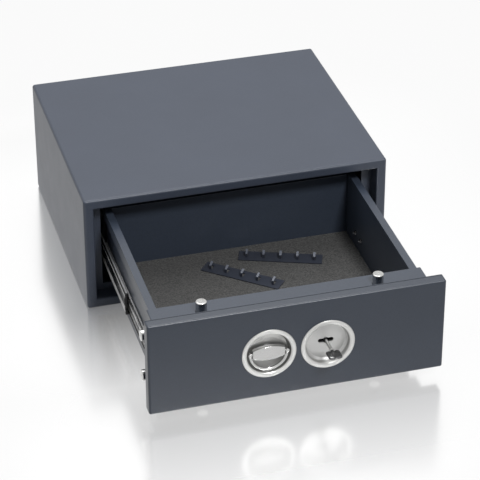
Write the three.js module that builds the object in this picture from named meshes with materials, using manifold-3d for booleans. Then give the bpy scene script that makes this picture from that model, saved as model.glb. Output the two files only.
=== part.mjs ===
// Drawer safe: a steel cabinet whose whole interior is one locking drawer.
// The drawer runs on two ball slides. Behind its front, a recessed handle turns a cam
// that drives four bolt carriers with two round bolts each, one pair on every side.
// Millimetres, +Z up, +X to the right seen from the front, +Y into the cabinet.
// The origin is the centre of the cabinet's underside.
// The model stands as the safe is shown: drawer pulled out, bolts thrown, key in the lock.

import * as THREE from 'three';
import { mergeVertices } from 'three/addons/utils/BufferGeometryUtils.js';
import Module from 'manifold-3d';

const wasm = await Module();
wasm.setup();

// Fits
const SEAT_GAP = 0.3;
const CLOSE_GAP = 0.2;
const RUNNING_GAP = 0.5;
// How far a cutting tool runs past the face it cuts, or a joined body into its neighbour.
const OVERRUN = 1;

// Cabinet
const CABINET_WIDTH = 500;
const CABINET_DEPTH = 407;
const CABINET_HEIGHT = 200;
const CABINET_WALL = 4;
const CABINET_BEND = 3;
// How much a rounded rim differs from the corner radius beside it.
const RIM_MARGIN = 0.2;
const FACE_WIDTH = 16.5;
const OPENING_EDGE = 3;
const REBATE_DEPTH = 30;
const REBATE_WALL = 2.5;
const STRIKE_THICKNESS = 4;
const STRIKE_REACH_SIDE = 16;
const STRIKE_REACH_ENDS = 9;
const ANCHOR_HOLE_RADIUS = 6.8;
const ANCHOR_SPREAD = 150;
const ANCHOR_BASE_Y = 60;
const ANCHOR_BACK_Z = 100;

// Drawer travel and heights
const DRAWER_TRAVEL = 336;
const DRAWER_MID_Z = 100.8;

// Drawer front
const FRONT_WIDTH = 460;
const FRONT_HEIGHT = 157;
const FRONT_THICKNESS = 18;
const FRONT_SHEET = 2.5;
const FRONT_EDGE = 1.6;
const BACKING_SHEET = 2;
const HARD_PLATE_WIDTH = 220;
const HARD_PLATE_HEIGHT = 100;
const HARD_PLATE_THICKNESS = 2;

// Lock case behind the front
const LOCK_CASE_WIDTH = 428.4;
const LOCK_CASE_HEIGHT = 123.8;
const LOCK_CASE_BACK = 69.6;
const LOCK_CASE_SHEET = 2;
const PILLAR_RADIUS = 5.5;
const PILLAR_CLEARANCE = 1.5;
const PILLAR_INSET = 20;

// Drawer box
const BOX_WALL = 12;
const BOX_SKIRT = 5.5;
const BOX_SHEET = 1.5;
const BOX_RAIL_HEIGHT = 20;
const BOX_INNER_BACK = 376.4;
const SIDE_TOP_Z = 159;
const BACK_TOP_Z = 156.6;
const BOX_BOTTOM_Z = 32;
const FLOOR_Z = 45;
const FLOOR_SHEET = 2;
const FLOOR_LIP = 10;
const CARPET_THICKNESS = 2.3;

// Ball slides: three members and two ball cages on each side
const SLIDE_MID_Z = 74.5;
const SLIDE_SHEET = 1.2;
const INNER_MEMBER_HEIGHT = 30;
const INNER_MEMBER_DEPTH = 4.9;
const MIDDLE_MEMBER_HEIGHT = 36.6;
const MIDDLE_MEMBER_DEPTH = 5.5;
const MIDDLE_MEMBER_BACK = 9.1;
const OUTER_MEMBER_HEIGHT = 43;
const OUTER_MEMBER_DEPTH = 6.1;
const SLIDE_THICKNESS = 12.7;
const OUTER_MEMBER_START = 70.5;
const OUTER_MEMBER_LENGTH = 327;
const MIDDLE_MEMBER_LENGTH = 315;
const MIDDLE_SHARE = 0.55;
const INNER_MEMBER_START = 71;
const INNER_MEMBER_LENGTH = 315;
const BUMPER_LENGTH = 4;
const BUMPER_LIP = 0.4;
const BRACKET_SHEET = 1.5;
const BRACKET_DEPTH = 29.3;
const BRACKET_INSET_Y = 4;
const BRACKET_INSET_Z = 1.5;
const CAGE_SHEET = 0.6;
const CAGE_LENGTH = 90;
const BALL_RADIUS = 0.85;
const BALLS_PER_ROW = 4;
const SCREW_HEAD_RADIUS = 3.6;
const SCREW_HEAD_HEIGHT = 2;
const SCREW_SHANK_RADIUS = 2;
const SIDE_SCREW_PLACES = [110, 136.6, 300.6, 327.3];

// Handle and lock places, from the middle of the drawer front
const FITTING_X = 45.6;
const FITTING_Z = 99.2;
const ROSETTE_RADIUS = 42.2;
const ROSETTE_INNER_RADIUS = 34.4;
const ROSETTE_PROUD = 1.6;
const ROSETTE_SHEET = 1.5;
const CUP_CLEARANCE = 0.4;
// The rim's section: insets from its outer or inner radius, and heights
const RIM_SIDE_HEIGHT = 0.5;
const RIM_EDGE_INSET = 0.6;
const RIM_EDGE_DROP = 0.2;
const RIM_FACE_INSET = 1.3;
const LIP_FACE_INSET = 0.9;
const LIP_EDGE_INSET = 0.2;
const LIP_EDGE_DROP = 0.4;
const LIP_DROP = 1.2;
// Corners of the lock's cup: [inset from the cup's radius, height above its floor]
const LOCK_CUP_CORNER = [[0.6, 3.5], [1.8, 1], [3.8, 0]];
const LOCK_CUP_BACK_INSET = 3;
const LOCK_CUP_SIDE_INSET = 0.8;
const LOCK_CUP_SIDE_RISE = 1.5;
const LOCK_CUP_DEPTH = 10.8;
const HANDLE_CUP_DEPTH = 11.4;
const HANDLE_CUP_FLAT_INSET = 12.4;
const HANDLE_CUP_BEND_INSET = 2.9;
const HANDLE_CUP_BEND_RISE = 1.9;
const HANDLE_CUP_BEND_EASE = 0.5;
const HANDLE_CUP_FLAT_RISE = 0.2;
const HANDLE_CUP_OUTER_WAIST = { inset: 0.3, rise: 0.2 };
const HANDLE_CUP_INNER_WAIST = { inset: 0.4, rise: 1.1 };

// Turning handle with its folding bail
const VANE_HALF_LENGTH = 25;
const VANE_HALF_HEIGHT = 11.5;
const VANE_END_HALF_HEIGHT = 6.5;
const VANE_FRONT = -0.3;
const VANE_THICKNESS = 7.3;
const VANE_EDGE = 1.2;
const BOSS_RADIUS = 7;
const BOSS_END = 19;
const NECK_RADIUS = 9;
const BAIL_RADIUS = 28.8;
const BAIL_WIRE = 2.7;
const BAIL_END_RADIUS = 3.2;
const BAIL_PIN_RADIUS = 1.5;
const BAIL_PIN_REACH = 3.4;
const BAIL_PIVOT_DEPTH = 2.6;
const SPINDLE_SIDE = 7.5;
const SPINDLE_END = 51.6;
const BUSH_RADIUS = 9.5;
const CLIP_RADIUS = 8;
const CLIP_GAP = 0.1;

// Boltwork
const BOLT_RADIUS = 8.5;
const BOLT_CHAMFER = 1.5;
const BOLT_AXIS_DEPTH = 44.3;
const BOLT_REACH_ENDS = 79.6;
const BOLT_REACH_SIDES = 230.4;
const BOLT_SPREAD_ENDS = 137;
const BOLT_SPREAD_SIDES = 35.6;
const BOLT_LENGTH = 39;
const BOLT_HOLE_CLEARANCE = 0.5;
const CAM_RADIUS = 19;
const CAM_THICKNESS = 5;
const CAM_FRONT = 45.5;
const CAM_PIN_CIRCLE = 11;
const CAM_PIN_RADIUS = 3;
const CAM_PIN_REACH = 7;
const CARRIER_SHEET = 3;
const SIDE_LAYER = 40;
const ENDS_LAYER = 53.5;
const CARRIER_BEAM = 12;
const BEAM_SETBACK = 4;
const TAB_HALF_WIDTH = 10;
const FORK_WALL = 4;
const FORK_HEIGHT = 19;
const FORK_START = 1;
const POST_OVERLAP = 0.5;
const STUD_NECK_RADIUS = 3;
const STUD_FOOT_RADIUS = 4.5;
const STUD_HEAD_RADIUS = 5.5;
const STUD_HEAD_THICKNESS = 1.6;
const SLOT_CLEARANCE = 0.4;
const SLOT_END_MARGIN = 0.1;
const SIDE_STUD_PLACES = { left: [-140, -92], right: [0, 118] };
const END_STUD_RISE = 20;
const END_STUD_EARS = { lower: 102, upper: 80 };
const EAR_HALF_WIDTH = 8;
const EAR_LENGTH = 30;

// Key lock
const LOCK_BODY_WIDTH = 60;
const LOCK_BODY_HEIGHT = 84;
const LOCK_BODY_DEPTH = 21;
const LOCK_BODY_CORNER = 2;
const LOCK_CHAMBER_RADIUS = 12;
const LOCK_CHAMBER_DEPTH = 18;
const ROTOR_RADIUS = 13;
const KEYHOLE_WIDTH = 23.4;
const KEYHOLE_HEIGHT = 4.4;
const KEY_BORE_RADIUS = 3.4;
const LOCK_BOLT_HALF_HEIGHT = 6;
const LOCK_BOLT_THICKNESS = 6;
const LOCK_BOLT_DEPTH = 27;
const LOCK_BOLT_LENGTH = 51;
const LOCK_BOLT_STANDOFF = 2;
const LOCK_CAM_HUB = 10;
const LOCK_CAM_LUG_REACH = 26;
const LOCK_CAM_LUG_HEIGHT = 7.4;
const LOCK_CAM_THICKNESS = 7;
const LOCK_CAM_CLEARANCE = 0.6;
const LOCK_CAM_LUG_ROOT = 4;
const LOCK_CAM_LUG_TAPER = 3;
const LOCK_CAM_LUG_SLOPE = 1;

// Key
const KEY_SHAFT_RADIUS = 2.5;
const KEY_TIP = 35;
const KEY_BIT_HALF_WIDTH = 10.2;
const KEY_BIT_THICKNESS = 3;
const KEY_BIT_START = 22;
const KEY_BIT_LENGTH = 12;
const KEY_BIT_OVERLAP = 0.01;
// How far each step of the bit reaches, as a share of the widest
const KEY_BIT_STEPS = [1, 0.8, 0.95, 0.7, 0.9, 0.75];
const KEY_BOW_WIDTH = 23;
const KEY_BOW_LENGTH = 23;
const KEY_BOW_THICKNESS = 2.6;
const KEY_BOW_NECK = 18;
const KEY_BOW_EDGE = 0.5;
const KEY_SHAFT_SEAT = 2;
const KEY_BOW_CORNER = 6;
const KEY_BOW_HOLE_RADIUS = 3;

// Key-hook strips
const STRIP_LENGTH = 136;
const STRIP_WIDTH = 27;
const STRIP_SHEET = 1.2;
const HOOK_COUNT = 5;
const HOOK_PITCH = 27.5;
const HOOK_WIDTH = 3.6;
const HOOK_RISE = 8;
const HOOK_TIP_REACH = 8.4;
const HOOK_TIP_LIFT = 3.8;
const HOOK_BASE = -5.2;
const WINDOW_WIDTH = 5;
const WINDOW_LENGTH = 14;
// Each strip's place on the carpet, as shares of the drawer's half width and of its length.
const STRIPS = [
  { name: 'key_strip_front', across: -0.02578, along: 0.71643, turn: -40.5 },
  { name: 'key_strip_rear', across: 0.34783, along: 0.83116, turn: -20.9 },
];

// Facets: an arc of an outline has twice its steps
const ARC_STEPS = 2;
const EDGE_STEPS = 3;
const MOUTH_STEPS = 5;
const ROUND_STEPS = 30;
const BOLT_STEPS = 28;
const BAIL_STEPS = 22;
const WIRE_STEPS = 4;
const VANE_STEPS = 6;
const KEY_BOW_STEPS = 4;
const KNUCKLE_STEPS = [10, 6];
const BALL_STEPS = [5, 3];
// A rod's steps for each quarter turn grow with its radius.
const ROD_STEPS_LEAST = 3;
const ROD_STEPS_GROWTH = 0.6;
const MERGE_DISTANCE = 1e-4;

// Places that follow from the sizes above
const cabinetFrontY = -CABINET_DEPTH / 2;
const cabinetBackY = CABINET_DEPTH / 2;
const frontY = cabinetFrontY - DRAWER_TRAVEL;
const openingHalfWidth = CABINET_WIDTH / 2 - FACE_WIDTH;
const openingBottom = FACE_WIDTH;
const openingTop = CABINET_HEIGHT - FACE_WIDTH;
const camTravel = 2 * CAM_PIN_CIRCLE * Math.sin(Math.PI / 4);
const camPinOffset = CAM_PIN_CIRCLE * Math.cos(Math.PI / 4);
const frontBottom = DRAWER_MID_Z - FRONT_HEIGHT / 2;
const frontTop = DRAWER_MID_Z + FRONT_HEIGHT / 2;
const backingFront = FRONT_THICKNESS - BACKING_SHEET - CLOSE_GAP;
const backingBack = FRONT_THICKNESS - CLOSE_GAP;
const lockCaseFront = FRONT_THICKNESS + CLOSE_GAP;
const lockCaseBottom = DRAWER_MID_Z - LOCK_CASE_HEIGHT / 2;
const lockCaseTop = DRAWER_MID_Z + LOCK_CASE_HEIGHT / 2;
const bracketWall = CABINET_WIDTH / 2 - CABINET_WALL - CLOSE_GAP;
const bracketFace = bracketWall - BRACKET_DEPTH;
const slideFace = bracketFace - CLOSE_GAP - SLIDE_THICKNESS;
const boxHalfWidth = slideFace - SEAT_GAP - BOX_SKIRT;
const cupHoleRadius = ROSETTE_INNER_RADIUS + ROSETTE_SHEET + CUP_CLEARANCE;
const boltHoleRadius = BOLT_RADIUS + BOLT_HOLE_CLEARANCE;

// Materials
const paint = new THREE.MeshStandardMaterial({ color: 0x4a505b, roughness: 0.6, metalness: 0.15 });
const paintInside = new THREE.MeshStandardMaterial({ color: 0x3c424e, roughness: 0.65, metalness: 0.1 });
const stripPaint = new THREE.MeshStandardMaterial({ color: 0x262b36, roughness: 0.5, metalness: 0.2 });
const chrome = new THREE.MeshStandardMaterial({ color: 0xd6d8da, roughness: 0.12, metalness: 1 });
const zincSteel = new THREE.MeshStandardMaterial({ color: 0xb4b6b8, roughness: 0.3, metalness: 0.9 });
const satinNickel = new THREE.MeshStandardMaterial({ color: 0xc8c8c5, roughness: 0.35, metalness: 0.85 });
const keySteel = new THREE.MeshStandardMaterial({ color: 0x8b8c8e, roughness: 0.25, metalness: 0.9 });
const carpetPile = new THREE.MeshStandardMaterial({ color: 0x50504b, roughness: 0.95, metalness: 0 });
const blackPlastic = new THREE.MeshStandardMaterial({ color: 0x151516, roughness: 0.45, metalness: 0 });

// Geometry helpers

function solid(geometry) {
  const bare = geometry.clone();
  bare.deleteAttribute('normal');
  bare.deleteAttribute('uv');
  const merged = mergeVertices(bare, MERGE_DISTANCE);
  const kept = [];
  const index = merged.index.array;
  for (let i = 0; i < index.length; i += 3) {
    const [a, b, c] = [index[i], index[i + 1], index[i + 2]];
    if (a !== b && b !== c && c !== a) {
      kept.push(a, b, c);
    }
  }
  return new wasm.Manifold(new wasm.Mesh({
    numProp: 3,
    vertProperties: new Float32Array(merged.attributes.position.array),
    triVerts: new Uint32Array(kept),
  }));
}

function surface(body) {
  const { vertProperties, triVerts } = body.getMesh();
  const geometry = new THREE.BufferGeometry();
  geometry.setAttribute('position', new THREE.BufferAttribute(new Float32Array(vertProperties), 3));
  geometry.setIndex(new THREE.BufferAttribute(new Uint32Array(triVerts), 1));
  geometry.computeVertexNormals();
  return geometry;
}

function cut(body, ...tools) {
  return tools.reduce((left, tool) => left.subtract(tool), body);
}

function join(...bodies) {
  return bodies.reduce((whole, body) => whole.add(body));
}

function roundedRect(x0, y0, x1, y1, radius = 0, Kind = THREE.Shape) {
  const shape = new Kind();
  if (radius === 0) {
    shape.moveTo(x0, y0).lineTo(x1, y0).lineTo(x1, y1).lineTo(x0, y1).closePath();
    return shape;
  }
  shape.moveTo(x0 + radius, y0);
  shape.lineTo(x1 - radius, y0);
  shape.absarc(x1 - radius, y0 + radius, radius, -Math.PI / 2, 0, false);
  shape.lineTo(x1, y1 - radius);
  shape.absarc(x1 - radius, y1 - radius, radius, 0, Math.PI / 2, false);
  shape.lineTo(x0 + radius, y1);
  shape.absarc(x0 + radius, y1 - radius, radius, Math.PI / 2, Math.PI, false);
  shape.lineTo(x0, y0 + radius);
  shape.absarc(x0 + radius, y0 + radius, radius, Math.PI, 1.5 * Math.PI, false);
  return shape;
}

function polygon(points, Kind = THREE.Shape) {
  return new Kind(points.map(([x, y]) => new THREE.Vector2(x, y)));
}

const X = new THREE.Vector3(1, 0, 0);
const Y = new THREE.Vector3(0, 1, 0);
const Z = new THREE.Vector3(0, 0, 1);
const PLANES = {
  x: new THREE.Matrix4().makeBasis(Y, Z, X),
  y: new THREE.Matrix4().makeBasis(X, Z, Y.clone().negate()),
  z: new THREE.Matrix4(),
};

// Extrudes a shape along an axis. The shape is drawn in the other two axes, in the order
// X, Y, Z. An edge above zero rounds the rims of both ends without growing the outline.
function extrude(shape, axis, from, to, edge = 0, steps = ARC_STEPS) {
  const geometry = new THREE.ExtrudeGeometry(shape, {
    depth: to - from - 2 * edge,
    bevelEnabled: edge > 0,
    bevelThickness: edge,
    bevelSize: edge,
    bevelOffset: -edge,
    bevelSegments: EDGE_STEPS,
    curveSegments: steps,
  });
  geometry.translate(0, 0, edge);
  geometry.applyMatrix4(PLANES[axis]);
  const start = axis === 'y' ? to : from;
  const offset = { x: X, y: Y, z: Z }[axis].clone().multiplyScalar(start);
  return geometry.translate(offset.x, offset.y, offset.z);
}

function block(x0, x1, y0, y1, z0, z1) {
  return solid(extrude(roundedRect(x0, z0, x1, z1), 'y', y0, y1));
}

// A cylinder along an axis, centred on the point (a, b) of the other two axes.
function rod(axis, a, b, radius, from, to) {
  const circle = new THREE.Shape();
  circle.absarc(a, b, radius, 0, 2 * Math.PI, false);
  const steps = Math.min(ROUND_STEPS / 2, Math.round(ROD_STEPS_LEAST + ROD_STEPS_GROWTH * radius));
  return solid(extrude(circle, axis, from, to, 0, steps));
}

// Turns a profile of [radius, depth] points about the Y axis.
function turned(points, x, y, z, steps = ROUND_STEPS) {
  const profile = points.map(([radius, along]) => new THREE.Vector2(radius, along));
  if (THREE.ShapeUtils.area(profile) < 0) {
    profile.reverse();
  }
  profile.push(profile[0].clone());
  const geometry = new THREE.LatheGeometry(profile, steps);
  return solid(geometry.translate(x, y, z));
}

const group = new THREE.Group();

function add(name, body, material) {
  const mesh = new THREE.Mesh(surface(body), material);
  mesh.name = name;
  group.add(mesh);
}

function depth(distance) {
  return frontY + distance;
}

// A pair of pieces mirrored to the left and the right of the safe.
function addPair(name, makeRight, material) {
  const right = makeRight();
  add(`${name}_left`, right.mirror([1, 0, 0]), material);
  add(`${name}_right`, right, material);
}

// Cabinet

function cabinetShell() {
  const half = CABINET_WIDTH / 2;
  const outline = roundedRect(-half, 0, half, CABINET_HEIGHT, CABINET_BEND);
  const body = solid(extrude(outline, 'y', cabinetFrontY, cabinetBackY, CABINET_BEND - RIM_MARGIN));
  const cavity = block(
    -half + CABINET_WALL, half - CABINET_WALL,
    cabinetFrontY + CABINET_WALL, cabinetBackY + OVERRUN,
    CABINET_WALL, CABINET_HEIGHT - CABINET_WALL,
  );
  const opening = block(
    -openingHalfWidth, openingHalfWidth,
    cabinetFrontY - OVERRUN, cabinetFrontY + CABINET_WALL + OVERRUN,
    openingBottom, openingTop,
  );
  const mouth = [[cabinetFrontY - OVERRUN, OPENING_EDGE]];
  for (let i = 0; i <= MOUTH_STEPS; i += 1) {
    const angle = (i / MOUTH_STEPS) * (Math.PI / 2);
    const inset = OPENING_EDGE * (1 - Math.cos(angle));
    mouth.push([cabinetFrontY + inset, OPENING_EDGE * (1 - Math.sin(angle))]);
  }
  const anchors = [-ANCHOR_SPREAD, ANCHOR_SPREAD].map(
    (x) => rod('z', x, ANCHOR_BASE_Y, ANCHOR_HOLE_RADIUS, -OVERRUN, CABINET_WALL + OVERRUN),
  );
  return cut(body, cavity, opening, flare(mouth), ...anchors);
}

// A solid through a row of rectangles, each the drawer's opening grown by its own margin.
function flare(rings) {
  const corners = rings.flatMap(([y, margin]) => {
    const x = openingHalfWidth + margin;
    const [low, high] = [openingBottom - margin, openingTop + margin];
    return [-x, y, low, x, y, low, x, y, high, -x, y, high];
  });
  const faces = [0, 1, 2, 0, 2, 3];
  for (let ring = 0; ring < rings.length - 1; ring += 1) {
    for (let corner = 0; corner < 4; corner += 1) {
      const a = 4 * ring + corner;
      const b = 4 * ring + ((corner + 1) % 4);
      faces.push(a, a + 4, b, b, a + 4, b + 4);
    }
  }
  const last = 4 * (rings.length - 1);
  faces.push(last, last + 2, last + 1, last, last + 3, last + 2);
  const geometry = new THREE.BufferGeometry();
  geometry.setAttribute('position', new THREE.Float32BufferAttribute(corners, 3));
  geometry.setIndex(faces);
  return solid(geometry);
}

function cabinetBack() {
  const half = CABINET_WIDTH / 2 - CABINET_WALL - SEAT_GAP;
  const panel = block(
    -half, half, cabinetBackY - CABINET_WALL, cabinetBackY,
    CABINET_WALL + SEAT_GAP, CABINET_HEIGHT - CABINET_WALL - SEAT_GAP,
  );
  const anchors = [-ANCHOR_SPREAD, ANCHOR_SPREAD].map((x) => rod(
    'y', x, ANCHOR_BACK_Z, ANCHOR_HOLE_RADIUS, cabinetBackY - CABINET_WALL - OVERRUN, cabinetBackY + OVERRUN,
  ));
  return cut(panel, ...anchors);
}

// The rebate round the opening and, behind it, the strike flange that the bolts hook behind.
function frontFrame() {
  const start = cabinetFrontY + CABINET_WALL + SEAT_GAP;
  const flange = cabinetFrontY + REBATE_DEPTH;
  const end = flange + STRIKE_THICKNESS;
  const tube = roundedRect(
    -openingHalfWidth - REBATE_WALL, openingBottom - REBATE_WALL,
    openingHalfWidth + REBATE_WALL, openingTop + REBATE_WALL, REBATE_WALL,
  );
  const body = solid(extrude(tube, 'y', start, end));
  const mouth = block(
    -openingHalfWidth, openingHalfWidth, start - OVERRUN, flange, openingBottom, openingTop,
  );
  const passage = block(
    -openingHalfWidth + STRIKE_REACH_SIDE, openingHalfWidth - STRIKE_REACH_SIDE,
    flange - OVERRUN, end + OVERRUN,
    openingBottom + STRIKE_REACH_ENDS, openingTop - STRIKE_REACH_ENDS,
  );
  return cut(body, mouth, passage);
}

// Slides. Every member is a C section, given by its outer face, its depth and its height.
// A positive side faces outwards, away from the drawer; its web is there.

function channel(webX, lipX, height, sheet, y0, y1) {
  const inward = Math.sign(lipX - webX);
  const outline = [
    [webX, -height / 2], [lipX, -height / 2],
    [lipX, -height / 2 + sheet], [webX + inward * sheet, -height / 2 + sheet],
    [webX + inward * sheet, height / 2 - sheet], [lipX, height / 2 - sheet],
    [lipX, height / 2], [webX, height / 2],
  ].map(([x, z]) => [x, z + SLIDE_MID_Z]);
  return solid(extrude(polygon(outline), 'y', y0, y1));
}

function outerMember() {
  const web = slideFace + SLIDE_THICKNESS;
  return channel(
    web, web - OUTER_MEMBER_DEPTH, OUTER_MEMBER_HEIGHT, SLIDE_SHEET,
    outerStart, outerStart + OUTER_MEMBER_LENGTH,
  );
}

const outerStart = cabinetFrontY + OUTER_MEMBER_START;
const bumperStart = outerStart - DRAWER_TRAVEL * MIDDLE_SHARE;
const middleStart = bumperStart + BUMPER_LENGTH + CLOSE_GAP;
const middleEnd = middleStart + MIDDLE_MEMBER_LENGTH;
const innerStart = depth(INNER_MEMBER_START);
const innerEnd = innerStart + INNER_MEMBER_LENGTH;

function middleMember() {
  const web = slideFace + MIDDLE_MEMBER_BACK;
  return channel(
    web, web - MIDDLE_MEMBER_DEPTH, MIDDLE_MEMBER_HEIGHT, SLIDE_SHEET, middleStart, middleEnd,
  );
}

// The inner member, with the screws that hold it: heads inside the drawer, shanks through
// the drawer's side.
function innerMember() {
  const body = channel(
    slideFace, slideFace + INNER_MEMBER_DEPTH, INNER_MEMBER_HEIGHT, SLIDE_SHEET, innerStart, innerEnd,
  );
  const screws = SIDE_SCREW_PLACES.flatMap((place) => [
    rod(
      'x', depth(place), SLIDE_MID_Z, SCREW_HEAD_RADIUS,
      boxHalfWidth - CLOSE_GAP - SCREW_HEAD_HEIGHT, boxHalfWidth - CLOSE_GAP,
    ),
    rod(
      'x', depth(place), SLIDE_MID_Z, SCREW_SHANK_RADIUS,
      boxHalfWidth - CLOSE_GAP - SCREW_HEAD_HEIGHT / 2, slideFace + SLIDE_SHEET / 2,
    ),
  ]);
  return join(body, ...screws);
}

// The black stop on the front end of the middle member, open in the middle for the inner one.
function slideBumper() {
  const back = slideFace + MIDDLE_MEMBER_BACK;
  const lip = back - MIDDLE_MEMBER_DEPTH;
  const throat = slideFace + INNER_MEMBER_DEPTH + RUNNING_GAP;
  const end = bumperStart + BUMPER_LENGTH;
  const reach = MIDDLE_MEMBER_HEIGHT / 2 + BUMPER_LIP;
  const face = block(lip, back, bumperStart, end, SLIDE_MID_Z - reach, SLIDE_MID_Z + reach);
  const gap = INNER_MEMBER_HEIGHT / 2 + RUNNING_GAP;
  const mouth = block(
    lip - OVERRUN, throat, bumperStart - OVERRUN, end + OVERRUN, SLIDE_MID_Z - gap, SLIDE_MID_Z + gap,
  );
  return cut(face, mouth);
}

// A ball cage: a thin C section between two members, with a row of balls in each flange.
function ballCage(webX, lipX, height, ballX, ballZ, middleY) {
  const start = middleY - CAGE_LENGTH / 2;
  const strip = channel(webX, lipX, height, CAGE_SHEET, start, start + CAGE_LENGTH);
  const pitch = CAGE_LENGTH / BALLS_PER_ROW;
  const balls = [];
  for (let i = 0; i < BALLS_PER_ROW; i += 1) {
    for (const side of [-1, 1]) {
      const ball = new THREE.SphereGeometry(BALL_RADIUS, ...BALL_STEPS);
      ball.translate(ballX, start + (i + 0.5) * pitch, SLIDE_MID_Z + side * ballZ);
      balls.push(solid(ball));
    }
  }
  return join(strip, ...balls);
}

function innerCage() {
  const lane = (INNER_MEMBER_HEIGHT / 2 + MIDDLE_MEMBER_HEIGHT / 2 - SLIDE_SHEET) / 2;
  const web = slideFace + MIDDLE_MEMBER_BACK - SLIDE_SHEET - RUNNING_GAP;
  const lip = slideFace + MIDDLE_MEMBER_BACK - MIDDLE_MEMBER_DEPTH + SEAT_GAP;
  const ball = slideFace + INNER_MEMBER_DEPTH - BALL_RADIUS / 2;
  return ballCage(web, lip, 2 * lane + CAGE_SHEET, ball, lane, (middleStart + innerEnd) / 2);
}

function outerCage() {
  const lane = (MIDDLE_MEMBER_HEIGHT / 2 + OUTER_MEMBER_HEIGHT / 2 - SLIDE_SHEET) / 2;
  const web = slideFace + SLIDE_THICKNESS - SLIDE_SHEET - RUNNING_GAP;
  const lip = slideFace + SLIDE_THICKNESS - OUTER_MEMBER_DEPTH + SEAT_GAP;
  const ball = slideFace + MIDDLE_MEMBER_BACK - BALL_RADIUS;
  return ballCage(web, lip, 2 * lane + CAGE_SHEET, ball, lane, (outerStart + middleEnd) / 2);
}

// A C-shaped spacer that carries the outer member on the cabinet's side wall.
function slideBracket() {
  const height = OUTER_MEMBER_HEIGHT - 2 * BRACKET_INSET_Z;
  return channel(
    bracketFace, bracketWall, height, BRACKET_SHEET,
    outerStart + BRACKET_INSET_Y, outerStart + OUTER_MEMBER_LENGTH - BRACKET_INSET_Y,
  );
}

// Drawer front

function fittingHoles(radius, from, to) {
  return [-FITTING_X, FITTING_X].map(
    (x) => rod('y', x, FITTING_Z, radius, depth(from), depth(to)),
  );
}

function frontCover() {
  const half = FRONT_WIDTH / 2;
  const outline = roundedRect(-half, frontBottom, half, frontTop, FRONT_EDGE + RIM_MARGIN);
  const body = solid(extrude(outline, 'y', depth(0), depth(FRONT_THICKNESS), FRONT_EDGE));
  const hollow = block(
    -half + FRONT_SHEET, half - FRONT_SHEET, depth(FRONT_SHEET), depth(FRONT_THICKNESS + OVERRUN),
    frontBottom + FRONT_SHEET, frontTop - FRONT_SHEET,
  );
  return cut(body, hollow, ...fittingHoles(cupHoleRadius, -OVERRUN, FRONT_SHEET + OVERRUN));
}

// The holes behind the cups, for the handle's bush and for the lock's rotor.
function workHoles() {
  const [from, to] = [depth(0), depth(FRONT_THICKNESS + OVERRUN)];
  return [
    rod('y', -FITTING_X, FITTING_Z, BUSH_RADIUS + SEAT_GAP, from, to),
    rod('y', FITTING_X, FITTING_Z, ROTOR_RADIUS + RUNNING_GAP, from, to),
  ];
}

// The sheet that closes the front's back, with what is welded on it: guide studs for the
// side carriers, and four pillars on whose ends the lock case's cover is screwed.
function frontBacking() {
  const inset = FRONT_SHEET + SEAT_GAP;
  const half = FRONT_WIDTH / 2 - inset;
  const sheet = block(
    -half, half, depth(backingFront), depth(backingBack), frontBottom + inset, frontTop - inset,
  );
  const studs = [-1, 1].flatMap((direction) => sideStudPlaces(direction).map(([x, z]) => guideStud(
    x, z, backingFront, SIDE_LAYER - SEAT_GAP, SIDE_LAYER + CARRIER_SHEET + SEAT_GAP,
  )));
  return join(cut(sheet, ...workHoles()), ...studs, ...coverPillars());
}

// The drill-resistant plate between the cups and the backing.
function hardPlate() {
  const back = backingFront - CLOSE_GAP;
  const plate = block(
    -HARD_PLATE_WIDTH / 2, HARD_PLATE_WIDTH / 2, depth(back - HARD_PLATE_THICKNESS), depth(back),
    FITTING_Z - HARD_PLATE_HEIGHT / 2, FITTING_Z + HARD_PLATE_HEIGHT / 2,
  );
  return cut(plate, ...workHoles());
}

// Lock case: four walls round the boltwork, closed by a screwed cover on the drawer side.

function endBoltHoles() {
  return [-BOLT_SPREAD_ENDS, BOLT_SPREAD_ENDS].map((x) => rod(
    'z', x, depth(BOLT_AXIS_DEPTH), boltHoleRadius, lockCaseBottom - OVERRUN, lockCaseTop + OVERRUN,
  ));
}

function sideBoltHoles() {
  const half = LOCK_CASE_WIDTH / 2 + OVERRUN;
  return [-BOLT_SPREAD_SIDES, BOLT_SPREAD_SIDES].map((z) => rod(
    'x', depth(BOLT_AXIS_DEPTH), DRAWER_MID_Z + z, boltHoleRadius, -half, half,
  ));
}

const pillarX = BOLT_SPREAD_ENDS + TAB_HALF_WIDTH + PILLAR_CLEARANCE + PILLAR_RADIUS;
const pillarRise = LOCK_CASE_HEIGHT / 2 - PILLAR_INSET;
const pillarPlaces = [[-1, -1], [-1, 1], [1, -1], [1, 1]].map(
  ([sideX, sideZ]) => [sideX * pillarX, DRAWER_MID_Z + sideZ * pillarRise],
);

// Pillars between the backing and the cover, each with its screw in its end.
function coverPillars() {
  const shoulder = LOCK_CASE_BACK - LOCK_CASE_SHEET - CLOSE_GAP;
  const head = LOCK_CASE_BACK + CLOSE_GAP;
  return pillarPlaces.flatMap(([x, z]) => [
    rod('y', x, z, PILLAR_RADIUS, depth(backingFront), depth(shoulder)),
    rod('y', x, z, SCREW_SHANK_RADIUS, depth(shoulder - OVERRUN), depth(head + SCREW_HEAD_HEIGHT / 2)),
    rod('y', x, z, SCREW_HEAD_RADIUS, depth(head), depth(head + SCREW_HEAD_HEIGHT)),
  ]);
}

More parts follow.
